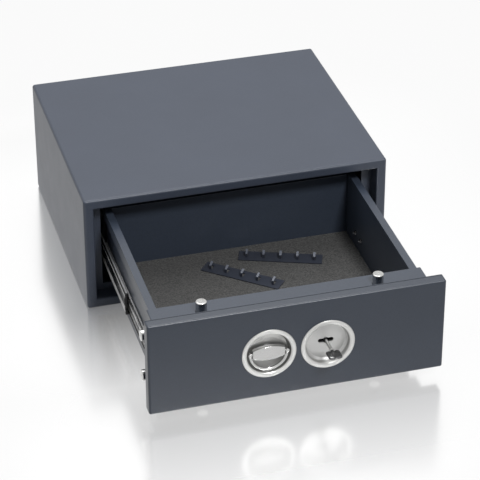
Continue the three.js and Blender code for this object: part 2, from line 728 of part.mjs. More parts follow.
function lockCase() {
  const half = LOCK_CASE_WIDTH / 2;
  const outline = roundedRect(-half, lockCaseBottom, half, lockCaseTop, LOCK_CASE_SHEET);
  const walls = solid(extrude(outline, 'y', depth(lockCaseFront), depth(LOCK_CASE_BACK)));
  const hollow = block(
    -half + LOCK_CASE_SHEET, half - LOCK_CASE_SHEET, depth(0), depth(LOCK_CASE_BACK + OVERRUN),
    lockCaseBottom + LOCK_CASE_SHEET, lockCaseTop - LOCK_CASE_SHEET,
  );
  return cut(walls, hollow, ...endBoltHoles(), ...sideBoltHoles());
}

// The case's cover, with the welded guide studs of the upper and lower carriers.
function lockCover() {
  const inset = LOCK_CASE_SHEET + SEAT_GAP;
  const half = LOCK_CASE_WIDTH / 2 - inset;
  const face = LOCK_CASE_BACK - LOCK_CASE_SHEET;
  const plate = block(
    -half, half, depth(face), depth(LOCK_CASE_BACK), lockCaseBottom + inset, lockCaseTop - inset,
  );
  const holes = pillarPlaces.map(([x, z]) => rod(
    'y', x, z, SCREW_SHANK_RADIUS + SEAT_GAP, depth(face - OVERRUN), depth(LOCK_CASE_BACK + OVERRUN),
  ));
  const studs = [-1, 1].flatMap((direction) => endStudPlaces(direction).map(([x, z]) => guideStud(
    x, z, LOCK_CASE_BACK, ENDS_LAYER + CARRIER_SHEET + SEAT_GAP, ENDS_LAYER - SEAT_GAP,
  )));
  return join(cut(plate, ...holes), ...studs);
}

// A shouldered stud: a foot on its sheet, a neck in the carrier's slot, and a head.
function guideStud(x, z, sheet, shoulder, head) {
  const way = Math.sign(head - shoulder);
  const span = (a, b) => [depth(Math.min(a, b)), depth(Math.max(a, b))];
  return join(
    rod('y', x, z, STUD_FOOT_RADIUS, ...span(sheet, shoulder)),
    rod('y', x, z, STUD_NECK_RADIUS, ...span(shoulder - way, head + way)),
    rod('y', x, z, STUD_HEAD_RADIUS, ...span(head, head + way * STUD_HEAD_THICKNESS)),
  );
}

// Drawer box

// A double-skinned side: a wide rail at the top, a slimmer skirt below it for the slide.
function drawerSide() {
  const inner = boxHalfWidth;
  const rail = inner + BOX_WALL;
  const skirt = inner + BOX_SKIRT;
  const railZ = SIDE_TOP_Z - BOX_RAIL_HEIGHT;
  const shape = polygon([
    [inner, BOX_BOTTOM_Z], [skirt, BOX_BOTTOM_Z], [skirt, railZ],
    [rail, railZ], [rail, SIDE_TOP_Z], [inner, SIDE_TOP_Z],
  ]);
  shape.holes.push(polygon([
    [inner + BOX_SHEET, BOX_BOTTOM_Z + BOX_SHEET], [inner + BOX_SHEET, SIDE_TOP_Z - BOX_SHEET],
    [rail - BOX_SHEET, SIDE_TOP_Z - BOX_SHEET], [rail - BOX_SHEET, railZ + BOX_SHEET],
    [skirt - BOX_SHEET, railZ + BOX_SHEET], [skirt - BOX_SHEET, BOX_BOTTOM_Z + BOX_SHEET],
  ], THREE.Path));
  const start = depth(LOCK_CASE_BACK + SEAT_GAP);
  const body = solid(extrude(shape, 'y', start, depth(BOX_INNER_BACK + BOX_WALL)));
  const holes = SIDE_SCREW_PLACES.map((place) => rod(
    'x', depth(place), SLIDE_MID_Z, SCREW_SHANK_RADIUS + SEAT_GAP, inner - OVERRUN, skirt + OVERRUN,
  ));
  return cut(body, ...holes);
}

function drawerBack() {
  const y0 = depth(BOX_INNER_BACK);
  const y1 = depth(BOX_INNER_BACK + BOX_WALL);
  const shape = roundedRect(y0, BOX_BOTTOM_Z, y1, BACK_TOP_Z);
  shape.holes.push(roundedRect(
    y0 + BOX_SHEET, BOX_BOTTOM_Z + BOX_SHEET, y1 - BOX_SHEET, BACK_TOP_Z - BOX_SHEET, 0, THREE.Path,
  ));
  const half = boxHalfWidth - SEAT_GAP;
  return solid(extrude(shape, 'x', -half, half));
}

// The floor sheet, with a short flange turned down along each side.
function drawerFloor() {
  const half = boxHalfWidth - SEAT_GAP;
  const lip = FLOOR_Z - FLOOR_LIP;
  const shape = polygon([
    [-half, lip], [-half + BOX_SHEET, lip], [-half + BOX_SHEET, FLOOR_Z],
    [half - BOX_SHEET, FLOOR_Z], [half - BOX_SHEET, lip], [half, lip],
    [half, FLOOR_Z + FLOOR_SHEET], [-half, FLOOR_Z + FLOOR_SHEET],
  ]);
  return solid(extrude(shape, 'y', depth(LOCK_CASE_BACK + SEAT_GAP), depth(BOX_INNER_BACK - SEAT_GAP)));
}

function carpet() {
  const half = boxHalfWidth - 2 * SEAT_GAP;
  const bottom = FLOOR_Z + FLOOR_SHEET + CLOSE_GAP;
  return block(
    -half, half, depth(LOCK_CASE_BACK + 2 * SEAT_GAP), depth(BOX_INNER_BACK - 2 * SEAT_GAP),
    bottom, bottom + CARPET_THICKNESS,
  );
}

// Rosettes: round cups let into the front, with a flat rim on its face.

function rosetteRim(inner) {
  const outer = ROSETTE_RADIUS;
  const proud = -ROSETTE_PROUD;
  const seat = -CLOSE_GAP;
  return [
    [outer, seat], [outer, seat - RIM_SIDE_HEIGHT], [outer - RIM_EDGE_INSET, proud + RIM_EDGE_DROP],
    [outer - RIM_FACE_INSET, proud], [inner + LIP_FACE_INSET, proud],
    [inner + LIP_EDGE_INSET, proud + LIP_EDGE_DROP], [inner, proud + LIP_DROP],
  ];
}

function handleRosette() {
  const inner = ROSETTE_INNER_RADIUS;
  const wall = ROSETTE_SHEET;
  const floor = HANDLE_CUP_DEPTH;
  const bore = BOSS_RADIUS + RUNNING_GAP;
  const flat = inner - HANDLE_CUP_FLAT_INSET;
  const bend = inner - HANDLE_CUP_BEND_INSET;
  const rise = HANDLE_CUP_BEND_RISE;
  const ease = HANDLE_CUP_BEND_EASE;
  const outerWaist = HANDLE_CUP_OUTER_WAIST;
  const innerWaist = HANDLE_CUP_INNER_WAIST;
  return turned([
    [bore, floor], [bore, floor + wall], [flat, floor + wall - HANDLE_CUP_FLAT_RISE],
    [bend, floor + wall - rise],
    [inner + wall - outerWaist.inset, floor / 2 - outerWaist.rise], [inner + wall, -CLOSE_GAP],
    ...rosetteRim(inner),
    [inner - innerWaist.inset, floor / 2 - innerWaist.rise],
    [bend - ease, floor - rise - ease], [flat, floor - HANDLE_CUP_FLAT_RISE],
  ], -FITTING_X, frontY, FITTING_Z);
}

function lockRosette() {
  const inner = ROSETTE_INNER_RADIUS;
  const wall = ROSETTE_SHEET;
  const floor = LOCK_CUP_DEPTH;
  const cup = turned([
    [0, floor + wall], [inner - LOCK_CUP_BACK_INSET, floor + wall],
    [inner + wall - LOCK_CUP_SIDE_INSET, floor - LOCK_CUP_SIDE_RISE], [inner + wall, -CLOSE_GAP],
    ...rosetteRim(inner),
    ...LOCK_CUP_CORNER.map(([inset, rise]) => [inner - inset, floor - rise]), [0, floor],
  ], FITTING_X, frontY, FITTING_Z);
  return cut(cup, keyhole(
    KEYHOLE_WIDTH, KEYHOLE_HEIGHT, depth(floor - OVERRUN), depth(floor + wall + OVERRUN),
  ));
}

// A flat-bitted keyhole: a round bore with a slot on each side of it.
function keyhole(width, height, y0, y1) {
  const slot = roundedRect(
    FITTING_X - width / 2, FITTING_Z - height / 2, FITTING_X + width / 2, FITTING_Z + height / 2,
    height / 2 - SLOT_END_MARGIN,
  );
  return join(
    solid(extrude(slot, 'y', y0, y1)),
    rod('y', FITTING_X, FITTING_Z, KEY_BORE_RADIUS, y0, y1),
  );
}

// Handle: a lens-shaped vane on a boss, turning in the rosette.

function vaneOutline() {
  const sag = VANE_HALF_HEIGHT - VANE_END_HALF_HEIGHT;
  const radius = (VANE_HALF_LENGTH ** 2 + sag ** 2) / (2 * sag);
  const swing = Math.asin(VANE_HALF_LENGTH / radius);
  const centre = VANE_HALF_HEIGHT - radius;
  const shape = new THREE.Shape();
  shape.absarc(-FITTING_X, FITTING_Z + centre, radius, Math.PI / 2 - swing, Math.PI / 2 + swing, false);
  shape.absarc(-FITTING_X, FITTING_Z - centre, radius, 1.5 * Math.PI - swing, 1.5 * Math.PI + swing, false);
  return shape;
}

function handleVane() {
  const back = VANE_FRONT + VANE_THICKNESS;
  const vane = solid(extrude(vaneOutline(), 'y', depth(VANE_FRONT), depth(back), VANE_EDGE, VANE_STEPS));
  const neck = rod(
    'y', -FITTING_X, FITTING_Z, NECK_RADIUS, depth(back - OVERRUN), depth(HANDLE_CUP_DEPTH - RUNNING_GAP),
  );
  const boss = rod('y', -FITTING_X, FITTING_Z, BOSS_RADIUS, depth(back), depth(BOSS_END));
  const socketHalf = SPINDLE_SIDE / 2 + CLOSE_GAP;
  const socket = block(
    -FITTING_X - socketHalf, -FITTING_X + socketHalf, depth(back), depth(BOSS_END + OVERRUN),
    FITTING_Z - socketHalf, FITTING_Z + socketHalf,
  );
  const end = VANE_HALF_LENGTH + OVERRUN;
  const seat = VANE_HALF_LENGTH - BAIL_PIN_REACH - CLOSE_GAP;
  const pinHoles = [[-end, -seat], [seat, end]].map(([from, to]) => rod(
    'x', depth(BAIL_PIVOT_DEPTH), FITTING_Z, BAIL_PIN_RADIUS + CLOSE_GAP, -FITTING_X + from, -FITTING_X + to,
  ));
  return cut(join(vane, neck, boss), socket, ...pinHoles);
}

function handleSpindle() {
  const half = SPINDLE_SIDE / 2;
  return block(
    -FITTING_X - half, -FITTING_X + half,
    depth(VANE_FRONT + VANE_THICKNESS + CLOSE_GAP), depth(SPINDLE_END),
    FITTING_Z - half, FITTING_Z + half,
  );
}

function spindleBush() {
  const front = HANDLE_CUP_DEPTH + ROSETTE_SHEET + SEAT_GAP;
  return cut(
    rod('y', -FITTING_X, FITTING_Z, BUSH_RADIUS, depth(front), depth(BOSS_END)),
    rod('y', -FITTING_X, FITTING_Z, BOSS_RADIUS + SEAT_GAP, depth(0), depth(BOSS_END + OVERRUN)),
  );
}

// The retaining clip on the inner end of the spindle.
function spindleClip() {
  const front = CAM_FRONT + CAM_THICKNESS + CLOSE_GAP;
  const half = SPINDLE_SIDE / 2 + CLIP_GAP;
  return cut(
    rod('y', -FITTING_X, FITTING_Z, CLIP_RADIUS, depth(front), depth(SPINDLE_END - CLIP_GAP)),
    block(
      -FITTING_X - half, -FITTING_X + half, depth(front - OVERRUN), depth(SPINDLE_END + OVERRUN),
      FITTING_Z - half, FITTING_Z + half,
    ),
  );
}

// The half-ring bail that folds down round the lower half of the vane.
class HalfRing extends THREE.Curve {
  getPoint(share, target = new THREE.Vector3()) {
    const angle = Math.PI * (1 + share);
    return target.set(
      -FITTING_X + BAIL_RADIUS * Math.cos(angle),
      depth(BAIL_PIVOT_DEPTH),
      FITTING_Z + BAIL_RADIUS * Math.sin(angle),
    );
  }
}

function bail() {
  const section = new THREE.Shape();
  section.absarc(0, 0, BAIL_WIRE, 0, 2 * Math.PI, false);
  const ring = solid(new THREE.ExtrudeGeometry(section, {
    extrudePath: new HalfRing(), steps: BAIL_STEPS, curveSegments: WIRE_STEPS,
  }));
  const parts = [ring];
  for (const side of [-1, 1]) {
    const knuckle = new THREE.SphereGeometry(BAIL_END_RADIUS, ...KNUCKLE_STEPS);
    knuckle.translate(-FITTING_X + side * BAIL_RADIUS, depth(BAIL_PIVOT_DEPTH), FITTING_Z);
    const reach = VANE_HALF_LENGTH - BAIL_PIN_REACH;
    const [from, to] = side < 0 ? [-BAIL_RADIUS, -reach] : [reach, BAIL_RADIUS];
    parts.push(
      solid(knuckle),
      rod('x', depth(BAIL_PIVOT_DEPTH), FITTING_Z, BAIL_PIN_RADIUS, -FITTING_X + from, -FITTING_X + to),
    );
  }
  return join(...parts);
}

// Boltwork

function squareHole(y0, y1) {
  const half = SPINDLE_SIDE / 2 + CLOSE_GAP;
  return block(
    -FITTING_X - half, -FITTING_X + half, depth(y0), depth(y1), FITTING_Z - half, FITTING_Z + half,
  );
}

// The bolt cam: a disc with two pins to the back for the upper and lower bolts
// and two to the front for the side bolts, a quarter turn apart.
function boltCam() {
  const back = CAM_FRONT + CAM_THICKNESS;
  const disc = rod('y', -FITTING_X, FITTING_Z, CAM_RADIUS, depth(CAM_FRONT), depth(back));
  const pins = [[1, 1, 1], [-1, -1, 1], [-1, 1, -1], [1, -1, -1]].map(([sideX, sideZ, facing]) => {
    const from = facing > 0 ? back - OVERRUN : CAM_FRONT - CAM_PIN_REACH;
    const to = facing > 0 ? back + CAM_PIN_REACH : CAM_FRONT + OVERRUN;
    return rod(
      'y', -FITTING_X + sideX * camPinOffset, FITTING_Z + sideZ * camPinOffset, CAM_PIN_RADIUS,
      depth(from), depth(to),
    );
  });
  return cut(join(disc, ...pins), squareHole(CAM_FRONT - OVERRUN, back + OVERRUN));
}

// The locking cam: its lug comes down on the lock's bolt when that is thrown.
function lockingCam() {
  const front = LOCK_BOLT_DEPTH - RUNNING_GAP;
  const back = front + LOCK_CAM_THICKNESS;
  const hub = rod('y', -FITTING_X, FITTING_Z, LOCK_CAM_HUB, depth(front), depth(back));
  const low = LOCK_BOLT_HALF_HEIGHT + LOCK_CAM_CLEARANCE;
  const high = low + LOCK_CAM_LUG_HEIGHT;
  const lug = polygon([
    [LOCK_CAM_LUG_ROOT, low], [LOCK_CAM_LUG_REACH, low], [LOCK_CAM_LUG_REACH - LOCK_CAM_LUG_TAPER, high],
    [LOCK_CAM_LUG_ROOT, high - LOCK_CAM_LUG_SLOPE],
  ].map(([x, z]) => [x - FITTING_X, z + FITTING_Z]));
  const arm = solid(extrude(lug, 'y', depth(front), depth(back)));
  return cut(join(hub, arm), squareHole(front - OVERRUN, back + OVERRUN));
}

// A round bolt along an axis with a chamfered tip, drawn at the origin and pointing along +Z.
function boltBlank() {
  const profile = [
    [0, 0], [BOLT_RADIUS, 0], [BOLT_RADIUS, BOLT_LENGTH - BOLT_CHAMFER],
    [BOLT_RADIUS - BOLT_CHAMFER, BOLT_LENGTH], [0, BOLT_LENGTH],
  ].map(([radius, height]) => new THREE.Vector2(radius, height));
  profile.push(profile[0].clone());
  return new THREE.LatheGeometry(profile, BOLT_STEPS).rotateX(Math.PI / 2);
}

// A bolt on an end carrier, up or down, or on a side carrier, to the left or the right.
function endBolt(direction, side) {
  const bolt = boltBlank();
  if (direction < 0) {
    bolt.rotateX(Math.PI);
  }
  const root = direction * (BOLT_REACH_ENDS - BOLT_LENGTH);
  bolt.translate(side * BOLT_SPREAD_ENDS, depth(BOLT_AXIS_DEPTH), DRAWER_MID_Z + root);
  return solid(bolt);
}

function sideBolt(direction, side) {
  const bolt = boltBlank().rotateY(direction * Math.PI / 2);
  const root = direction * (BOLT_REACH_SIDES - BOLT_LENGTH);
  bolt.translate(root, depth(BOLT_AXIS_DEPTH), DRAWER_MID_Z + side * BOLT_SPREAD_SIDES);
  return solid(bolt);
}

const slotHalf = STUD_NECK_RADIUS + SLOT_CLEARANCE;
const pinSlotHalf = CAM_PIN_RADIUS + RUNNING_GAP;

// Upper or lower carrier: a beam with a bent tab under each bolt, a forked tongue on the
// cam's pin, and two slots that ride on guide studs.
function endCarrier(direction) {
  const y0 = depth(ENDS_LAYER);
  const y1 = depth(ENDS_LAYER + CARRIER_SHEET);
  const tabTop = BOLT_REACH_ENDS - BOLT_LENGTH - CLOSE_GAP;
  const beamLow = tabTop - CARRIER_SHEET - BEAM_SETBACK;
  const spanZ = (low, high) => (direction > 0
    ? [DRAWER_MID_Z + low, DRAWER_MID_Z + high]
    : [DRAWER_MID_Z - high, DRAWER_MID_Z - low]);
  const half = BOLT_SPREAD_ENDS + TAB_HALF_WIDTH;
  const parts = [block(-half, half, y0, y1, ...spanZ(beamLow, beamLow + CARRIER_BEAM))];
  for (const x of [-BOLT_SPREAD_ENDS, BOLT_SPREAD_ENDS]) {
    parts.push(block(
      x - TAB_HALF_WIDTH, x + TAB_HALF_WIDTH, depth(BOLT_AXIS_DEPTH - TAB_HALF_WIDTH), y1,
      ...spanZ(tabTop - CARRIER_SHEET, tabTop),
    ));
  }
  const pinX = -FITTING_X + direction * camPinOffset;
  const pinZ = FITTING_Z + direction * camPinOffset;
  const inner = -FITTING_X + direction * FORK_START;
  const outer = -FITTING_X + direction * FORK_HEIGHT;
  const [tongueLeft, tongueRight] = [Math.min(inner, outer), Math.max(inner, outer)];
  const foot = pinZ - direction * (pinSlotHalf + FORK_WALL);
  const root = DRAWER_MID_Z + direction * (beamLow + OVERRUN);
  parts.push(block(tongueLeft, tongueRight, y0, y1, Math.min(foot, root), Math.max(foot, root)));
  const earTop = beamLow + CARRIER_BEAM;
  const [, [earX]] = endStudPlaces(direction);
  parts.push(block(
    earX - EAR_HALF_WIDTH, earX + EAR_HALF_WIDTH, y0, y1, ...spanZ(earTop - EAR_LENGTH, earTop),
  ));
  const slotEnd = pinX + direction * (CAM_PIN_CIRCLE - camPinOffset + pinSlotHalf + RUNNING_GAP);
  const slotOpen = inner - direction * OVERRUN;
  const pinSlot = block(
    Math.min(slotEnd, slotOpen), Math.max(slotEnd, slotOpen), y0 - OVERRUN, y1 + OVERRUN,
    pinZ - pinSlotHalf, pinZ + pinSlotHalf,
  );
  const guideSlots = endStudPlaces(direction).map(([x, z]) => {
    const [low, high] = slotSpan(z, direction);
    const slot = roundedRect(x - slotHalf, low, x + slotHalf, high, slotHalf - SLOT_END_MARGIN);
    return solid(extrude(slot, 'y', y0 - OVERRUN, y1 + OVERRUN));
  });
  return cut(join(...parts), pinSlot, ...guideSlots);
}

// The guide studs of a carrier stand at the outer ends of its slots when its bolts are
// thrown, so each slot runs on outwards from its stud by the bolts' travel.
function slotSpan(place, direction) {
  const run = direction * (camTravel + slotHalf + SLOT_CLEARANCE);
  const back = place - direction * (slotHalf + SLOT_CLEARANCE);
  return [Math.min(back, place + run), Math.max(back, place + run)];
}

function endStudPlaces(direction) {
  const z = DRAWER_MID_Z + direction * END_STUD_RISE;
  const fork = -FITTING_X + direction * (FORK_HEIGHT + FORK_START) / 2;
  return [[fork, z], [END_STUD_EARS[direction > 0 ? 'upper' : 'lower'], z]];
}

// Left or right carrier: a post with a bent tab behind each bolt and a long tongue to the cam.
function sideCarrier(direction) {
  const y0 = depth(SIDE_LAYER);
  const y1 = depth(SIDE_LAYER + CARRIER_SHEET);
  const tabFace = BOLT_REACH_SIDES - BOLT_LENGTH - CLOSE_GAP;
  const postOuter = tabFace - CARRIER_SHEET + POST_OVERLAP;
  const postInner = postOuter - CARRIER_BEAM;
  const spanX = (a, b) => [Math.min(direction * a, direction * b), Math.max(direction * a, direction * b)];
  const reach = BOLT_SPREAD_SIDES + TAB_HALF_WIDTH;
  const parts = [block(...spanX(postInner, postOuter), y0, y1, DRAWER_MID_Z - reach, DRAWER_MID_Z + reach)];
  for (const z of [-BOLT_SPREAD_SIDES, BOLT_SPREAD_SIDES]) {
    parts.push(block(
      ...spanX(tabFace - CARRIER_SHEET, tabFace),
      depth(BOLT_AXIS_DEPTH - TAB_HALF_WIDTH), depth(BOLT_AXIS_DEPTH + TAB_HALF_WIDTH),
      DRAWER_MID_Z + z - TAB_HALF_WIDTH, DRAWER_MID_Z + z + TAB_HALF_WIDTH,
    ));
  }
  const pinX = -FITTING_X + direction * camPinOffset;
  const pinZ = FITTING_Z - direction * camPinOffset;
  const near = FITTING_Z - direction * (SPINDLE_SIDE / Math.SQRT2 + RUNNING_GAP);
  const far = FITTING_Z - direction * FORK_HEIGHT;
  const tip = pinX - direction * (pinSlotHalf + FORK_WALL);
  const root = direction * (postInner + OVERRUN);
  parts.push(block(
    Math.min(tip, root), Math.max(tip, root), y0, y1, Math.min(near, far), Math.max(near, far),
  ));
  const slotEnd = FITTING_Z - direction * (CAM_PIN_CIRCLE + pinSlotHalf + RUNNING_GAP);
  const slotOpen = near + direction * 2 * OVERRUN;
  const pinSlot = block(
    pinX - pinSlotHalf, pinX + pinSlotHalf, y0 - OVERRUN, y1 + OVERRUN,
    Math.min(slotEnd, slotOpen), Math.max(slotEnd, slotOpen),
  );
  const guideSlots = sideStudPlaces(direction).map(([x, z]) => {
    const [low, high] = slotSpan(x, direction);
    const slot = roundedRect(low, z - slotHalf, high, z + slotHalf, slotHalf - SLOT_END_MARGIN);
    return solid(extrude(slot, 'y', y0 - OVERRUN, y1 + OVERRUN));
  });
  return cut(join(...parts), pinSlot, ...guideSlots);
}

function sideStudPlaces(direction) {
  const near = SPINDLE_SIDE / Math.SQRT2 + RUNNING_GAP;
  const z = FITTING_Z - direction * (near + FORK_HEIGHT) / 2;
  return SIDE_STUD_PLACES[direction > 0 ? 'right' : 'left'].map((x) => [x, z]);
}

// Key lock

function lockBody() {
  const front = lockCaseFront + CLOSE_GAP;
  const back = front + LOCK_BODY_DEPTH;
  const halfWidth = LOCK_BODY_WIDTH / 2;
  const halfHeight = LOCK_BODY_HEIGHT / 2;
  const outline = roundedRect(
    FITTING_X - halfWidth, FITTING_Z - halfHeight, FITTING_X + halfWidth, FITTING_Z + halfHeight,
    LOCK_BODY_CORNER,
  );
  const body = solid(extrude(outline, 'y', depth(front), depth(back)));
  const chamber = rod(
    'y', FITTING_X, FITTING_Z, LOCK_CHAMBER_RADIUS, depth(front - OVERRUN), depth(front + LOCK_CHAMBER_DEPTH),
  );
  const slack = SEAT_GAP;
  const slideway = block(
    FITTING_X - halfWidth - OVERRUN, FITTING_X,
    depth(LOCK_BOLT_DEPTH - slack), depth(LOCK_BOLT_DEPTH + LOCK_BOLT_THICKNESS + slack),
    FITTING_Z - LOCK_BOLT_HALF_HEIGHT - slack, FITTING_Z + LOCK_BOLT_HALF_HEIGHT + slack,
  );
  return cut(body, chamber, slideway);
}

function lockBolt() {
  const tip = -FITTING_X + LOCK_CAM_LUG_REACH + LOCK_BOLT_STANDOFF;
  return block(
    tip, tip + LOCK_BOLT_LENGTH, depth(LOCK_BOLT_DEPTH), depth(LOCK_BOLT_DEPTH + LOCK_BOLT_THICKNESS),
    FITTING_Z - LOCK_BOLT_HALF_HEIGHT, FITTING_Z + LOCK_BOLT_HALF_HEIGHT,
  );
}

// The slotted disc behind the rosette that turns with the key.
function lockRotor() {
  const front = LOCK_CUP_DEPTH + ROSETTE_SHEET + SEAT_GAP;
  const back = lockCaseFront - CLOSE_GAP;
  return cut(
    rod('y', FITTING_X, FITTING_Z, ROTOR_RADIUS, depth(front), depth(back)),
    keyhole(KEYHOLE_WIDTH, KEYHOLE_HEIGHT, depth(front - OVERRUN), depth(back + OVERRUN)),
  );
}

// A double-bitted key: bow outside, round shaft, and a stepped bit on each side.
function key() {
  const shaftStart = depth(-KEY_BOW_NECK - KEY_SHAFT_SEAT);
  const shaft = rod('y', FITTING_X, FITTING_Z, KEY_SHAFT_RADIUS, shaftStart, depth(KEY_TIP));
  const halfBit = KEY_BIT_THICKNESS / 2;
  const stepLength = KEY_BIT_LENGTH / KEY_BIT_STEPS.length;
  const bits = KEY_BIT_STEPS.map((share, i) => {
    const half = KEY_BIT_HALF_WIDTH * share;
    const start = KEY_BIT_START + i * stepLength;
    return block(
      FITTING_X - half, FITTING_X + half, depth(start), depth(start + stepLength + KEY_BIT_OVERLAP),
      FITTING_Z - halfBit, FITTING_Z + halfBit,
    );
  });
  const halfBow = KEY_BOW_WIDTH / 2;
  const bow = roundedRect(
    FITTING_X - halfBow, depth(-KEY_BOW_NECK - KEY_BOW_LENGTH),
    FITTING_X + halfBow, depth(-KEY_BOW_NECK),
    KEY_BOW_CORNER,
  );
  const hole = new THREE.Path();
  hole.absarc(
    FITTING_X - KEY_BOW_CORNER, depth(-KEY_BOW_NECK - KEY_BOW_LENGTH + KEY_BOW_CORNER),
    KEY_BOW_HOLE_RADIUS, 0, 2 * Math.PI, false,
  );
  bow.holes.push(hole);
  const halfSheet = KEY_BOW_THICKNESS / 2;
  const plate = solid(extrude(
    bow, 'z', FITTING_Z - halfSheet, FITTING_Z + halfSheet, KEY_BOW_EDGE, KEY_BOW_STEPS,
  ));
  return join(shaft, plate, ...bits);
}

// Key-hook strips: flat bars with tabs pierced out and bent up into hooks.

function keyStrip({ across, along, turn }) {
  const sheet = block(-STRIP_LENGTH / 2, STRIP_LENGTH / 2, -STRIP_WIDTH / 2, STRIP_WIDTH / 2, 0, STRIP_SHEET);
  const slope = Math.atan2(HOOK_TIP_LIFT, HOOK_TIP_REACH);
  const [rise, back] = [Math.sin(slope) * STRIP_SHEET, Math.cos(slope) * STRIP_SHEET];
  const bend = HOOK_BASE + STRIP_SHEET;
  const [tipY, tipZ] = [HOOK_BASE + HOOK_TIP_REACH, HOOK_RISE + HOOK_TIP_LIFT];
  const hook = polygon([
    [HOOK_BASE, 0], [bend, 0], [bend, HOOK_RISE - STRIP_SHEET * Math.tan(Math.PI / 4 - slope / 2)],
    [tipY + rise, tipZ - back], [tipY, tipZ], [HOOK_BASE, HOOK_RISE],
  ]);
  let strip = sheet;
  for (let i = 0; i < HOOK_COUNT; i += 1) {
    const middle = (i - (HOOK_COUNT - 1) / 2) * HOOK_PITCH;
    const window = block(
      middle - WINDOW_WIDTH / 2, middle + WINDOW_WIDTH / 2,
      HOOK_BASE + STRIP_SHEET, HOOK_BASE + WINDOW_LENGTH, -OVERRUN, STRIP_SHEET + OVERRUN,
    );
    const tab = solid(extrude(hook, 'x', middle - HOOK_WIDTH / 2, middle + HOOK_WIDTH / 2));
    strip = join(cut(strip, window), tab);
  }
  const floor = FLOOR_Z + FLOOR_SHEET + CLOSE_GAP + CARPET_THICKNESS + CLOSE_GAP;
  const x = across * boxHalfWidth;
  const y = depth(LOCK_CASE_BACK + along * (BOX_INNER_BACK - LOCK_CASE_BACK));
  return strip.rotate([0, 0, turn]).translate([x, y, floor]);
}

// Assembly

add('cabinet_shell', cabinetShell(), paint);
add('cabinet_back', cabinetBack(), paint);
add('front_frame', frontFrame(), paint);
addPair('slide_bracket', slideBracket, zincSteel);
addPair('slide_outer', outerMember, zincSteel);
addPair('slide_middle', middleMember, zincSteel);
addPair('slide_bumper', slideBumper, blackPlastic);
addPair('ball_cage_outer', outerCage, zincSteel);
addPair('ball_cage_inner', innerCage, zincSteel);
addPair('slide_inner', innerMember, zincSteel);

add('front_cover', frontCover(), paint);
add('front_backing', frontBacking(), paint);
add('hard_plate', hardPlate(), zincSteel);
add('lock_case', lockCase(), paint);
add('lock_cover', lockCover(), paint);
addPair('drawer_side', drawerSide, paintInside);
add('drawer_back', drawerBack(), paintInside);
add('drawer_floor', drawerFloor(), paintInside);
add('carpet', carpet(), carpetPile);

add('handle_rosette', handleRosette(), satinNickel);
add('lock_rosette', lockRosette(), satinNickel);
add('handle_vane', handleVane(), satinNickel);
add('handle_spindle', handleSpindle(), zincSteel);
add('spindle_bush', spindleBush(), zincSteel);
add('spindle_clip', spindleClip(), zincSteel);
add('bail', bail(), satinNickel);

add('bolt_cam', boltCam(), zincSteel);
add('locking_cam', lockingCam(), zincSteel);
add('upper_carrier', endCarrier(1), zincSteel);
add('lower_carrier', endCarrier(-1), zincSteel);
add('left_carrier', sideCarrier(-1), zincSteel);
add('right_carrier', sideCarrier(1), zincSteel);
for (const [name, side] of [['left', -1], ['right', 1]]) {
  add(`upper_bolt_${name}`, endBolt(1, side), chrome);
  add(`lower_bolt_${name}`, endBolt(-1, side), chrome);
  add(`${name}_bolt_upper`, sideBolt(side, 1), chrome);
  add(`${name}_bolt_lower`, sideBolt(side, -1), chrome);
}

add('lock_body', lockBody(), zincSteel);
add('lock_bolt', lockBolt(), zincSteel);
add('lock_rotor', lockRotor(), zincSteel);
add('key', key(), keySteel);
for (const strip of STRIPS) {
  add(strip.name, keyStrip(strip), stripPaint);
}

export default group;
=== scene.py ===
"""Drawer safe: the finished pieces, their finishes and the studio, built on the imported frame.

Sizes are in millimetres, and MM turns them into Blender's metres. X runs to the right seen
from the front, Y into the cabinet, Z up. The drawer stands open, as in its rest pose.
"""

import logging
import math
from contextlib import contextmanager
from dataclasses import dataclass, field
from enum import Enum
from functools import cache
from typing import Callable, Iterator, Sequence

import bmesh
import bpy
from mathutils import Matrix, Vector


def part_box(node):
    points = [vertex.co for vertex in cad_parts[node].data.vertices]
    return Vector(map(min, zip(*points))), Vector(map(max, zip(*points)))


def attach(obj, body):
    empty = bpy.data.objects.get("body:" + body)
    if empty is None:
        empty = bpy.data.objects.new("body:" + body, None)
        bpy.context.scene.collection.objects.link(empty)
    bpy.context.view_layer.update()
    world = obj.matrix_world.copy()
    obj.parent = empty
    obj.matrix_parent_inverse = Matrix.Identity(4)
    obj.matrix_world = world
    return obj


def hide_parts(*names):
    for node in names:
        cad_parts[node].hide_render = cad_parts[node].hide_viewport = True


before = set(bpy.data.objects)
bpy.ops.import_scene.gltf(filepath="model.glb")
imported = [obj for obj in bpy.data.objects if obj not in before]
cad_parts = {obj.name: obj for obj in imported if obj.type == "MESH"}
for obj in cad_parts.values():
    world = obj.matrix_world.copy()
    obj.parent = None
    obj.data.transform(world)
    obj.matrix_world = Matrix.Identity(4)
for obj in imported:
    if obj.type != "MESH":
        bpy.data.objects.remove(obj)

log = logging.getLogger("drawer_safe")

MM = 0.001

# Places that several sub-assemblies share: the face of the drawer front, the middle of the
# ball slides, and the middles of the two rosettes.
FRONT_Y = -539.5
SLIDE_Z = 74.5
FITTING_X = 45.6
FITTING_Z = 99.2

# The part of a unit vector along an axis from which it counts as running along it, or across.
ALONG = 0.9
ACROSS = 0.1

# How far a cutter reaches past what it cuts.
OVERRUN = 1.0

WHITE = (1.0, 1.0, 1.0)

Point = tuple[float, float, float]
Colour = tuple[float, float, float]
Corner = tuple[float, float, float]
Profile = list[tuple[float, float]]
PlaceTest = Callable[[Vector, Vector], bool]
Piece = bpy.types.Object
Node = bpy.types.Node
Socket = bpy.types.NodeSocket


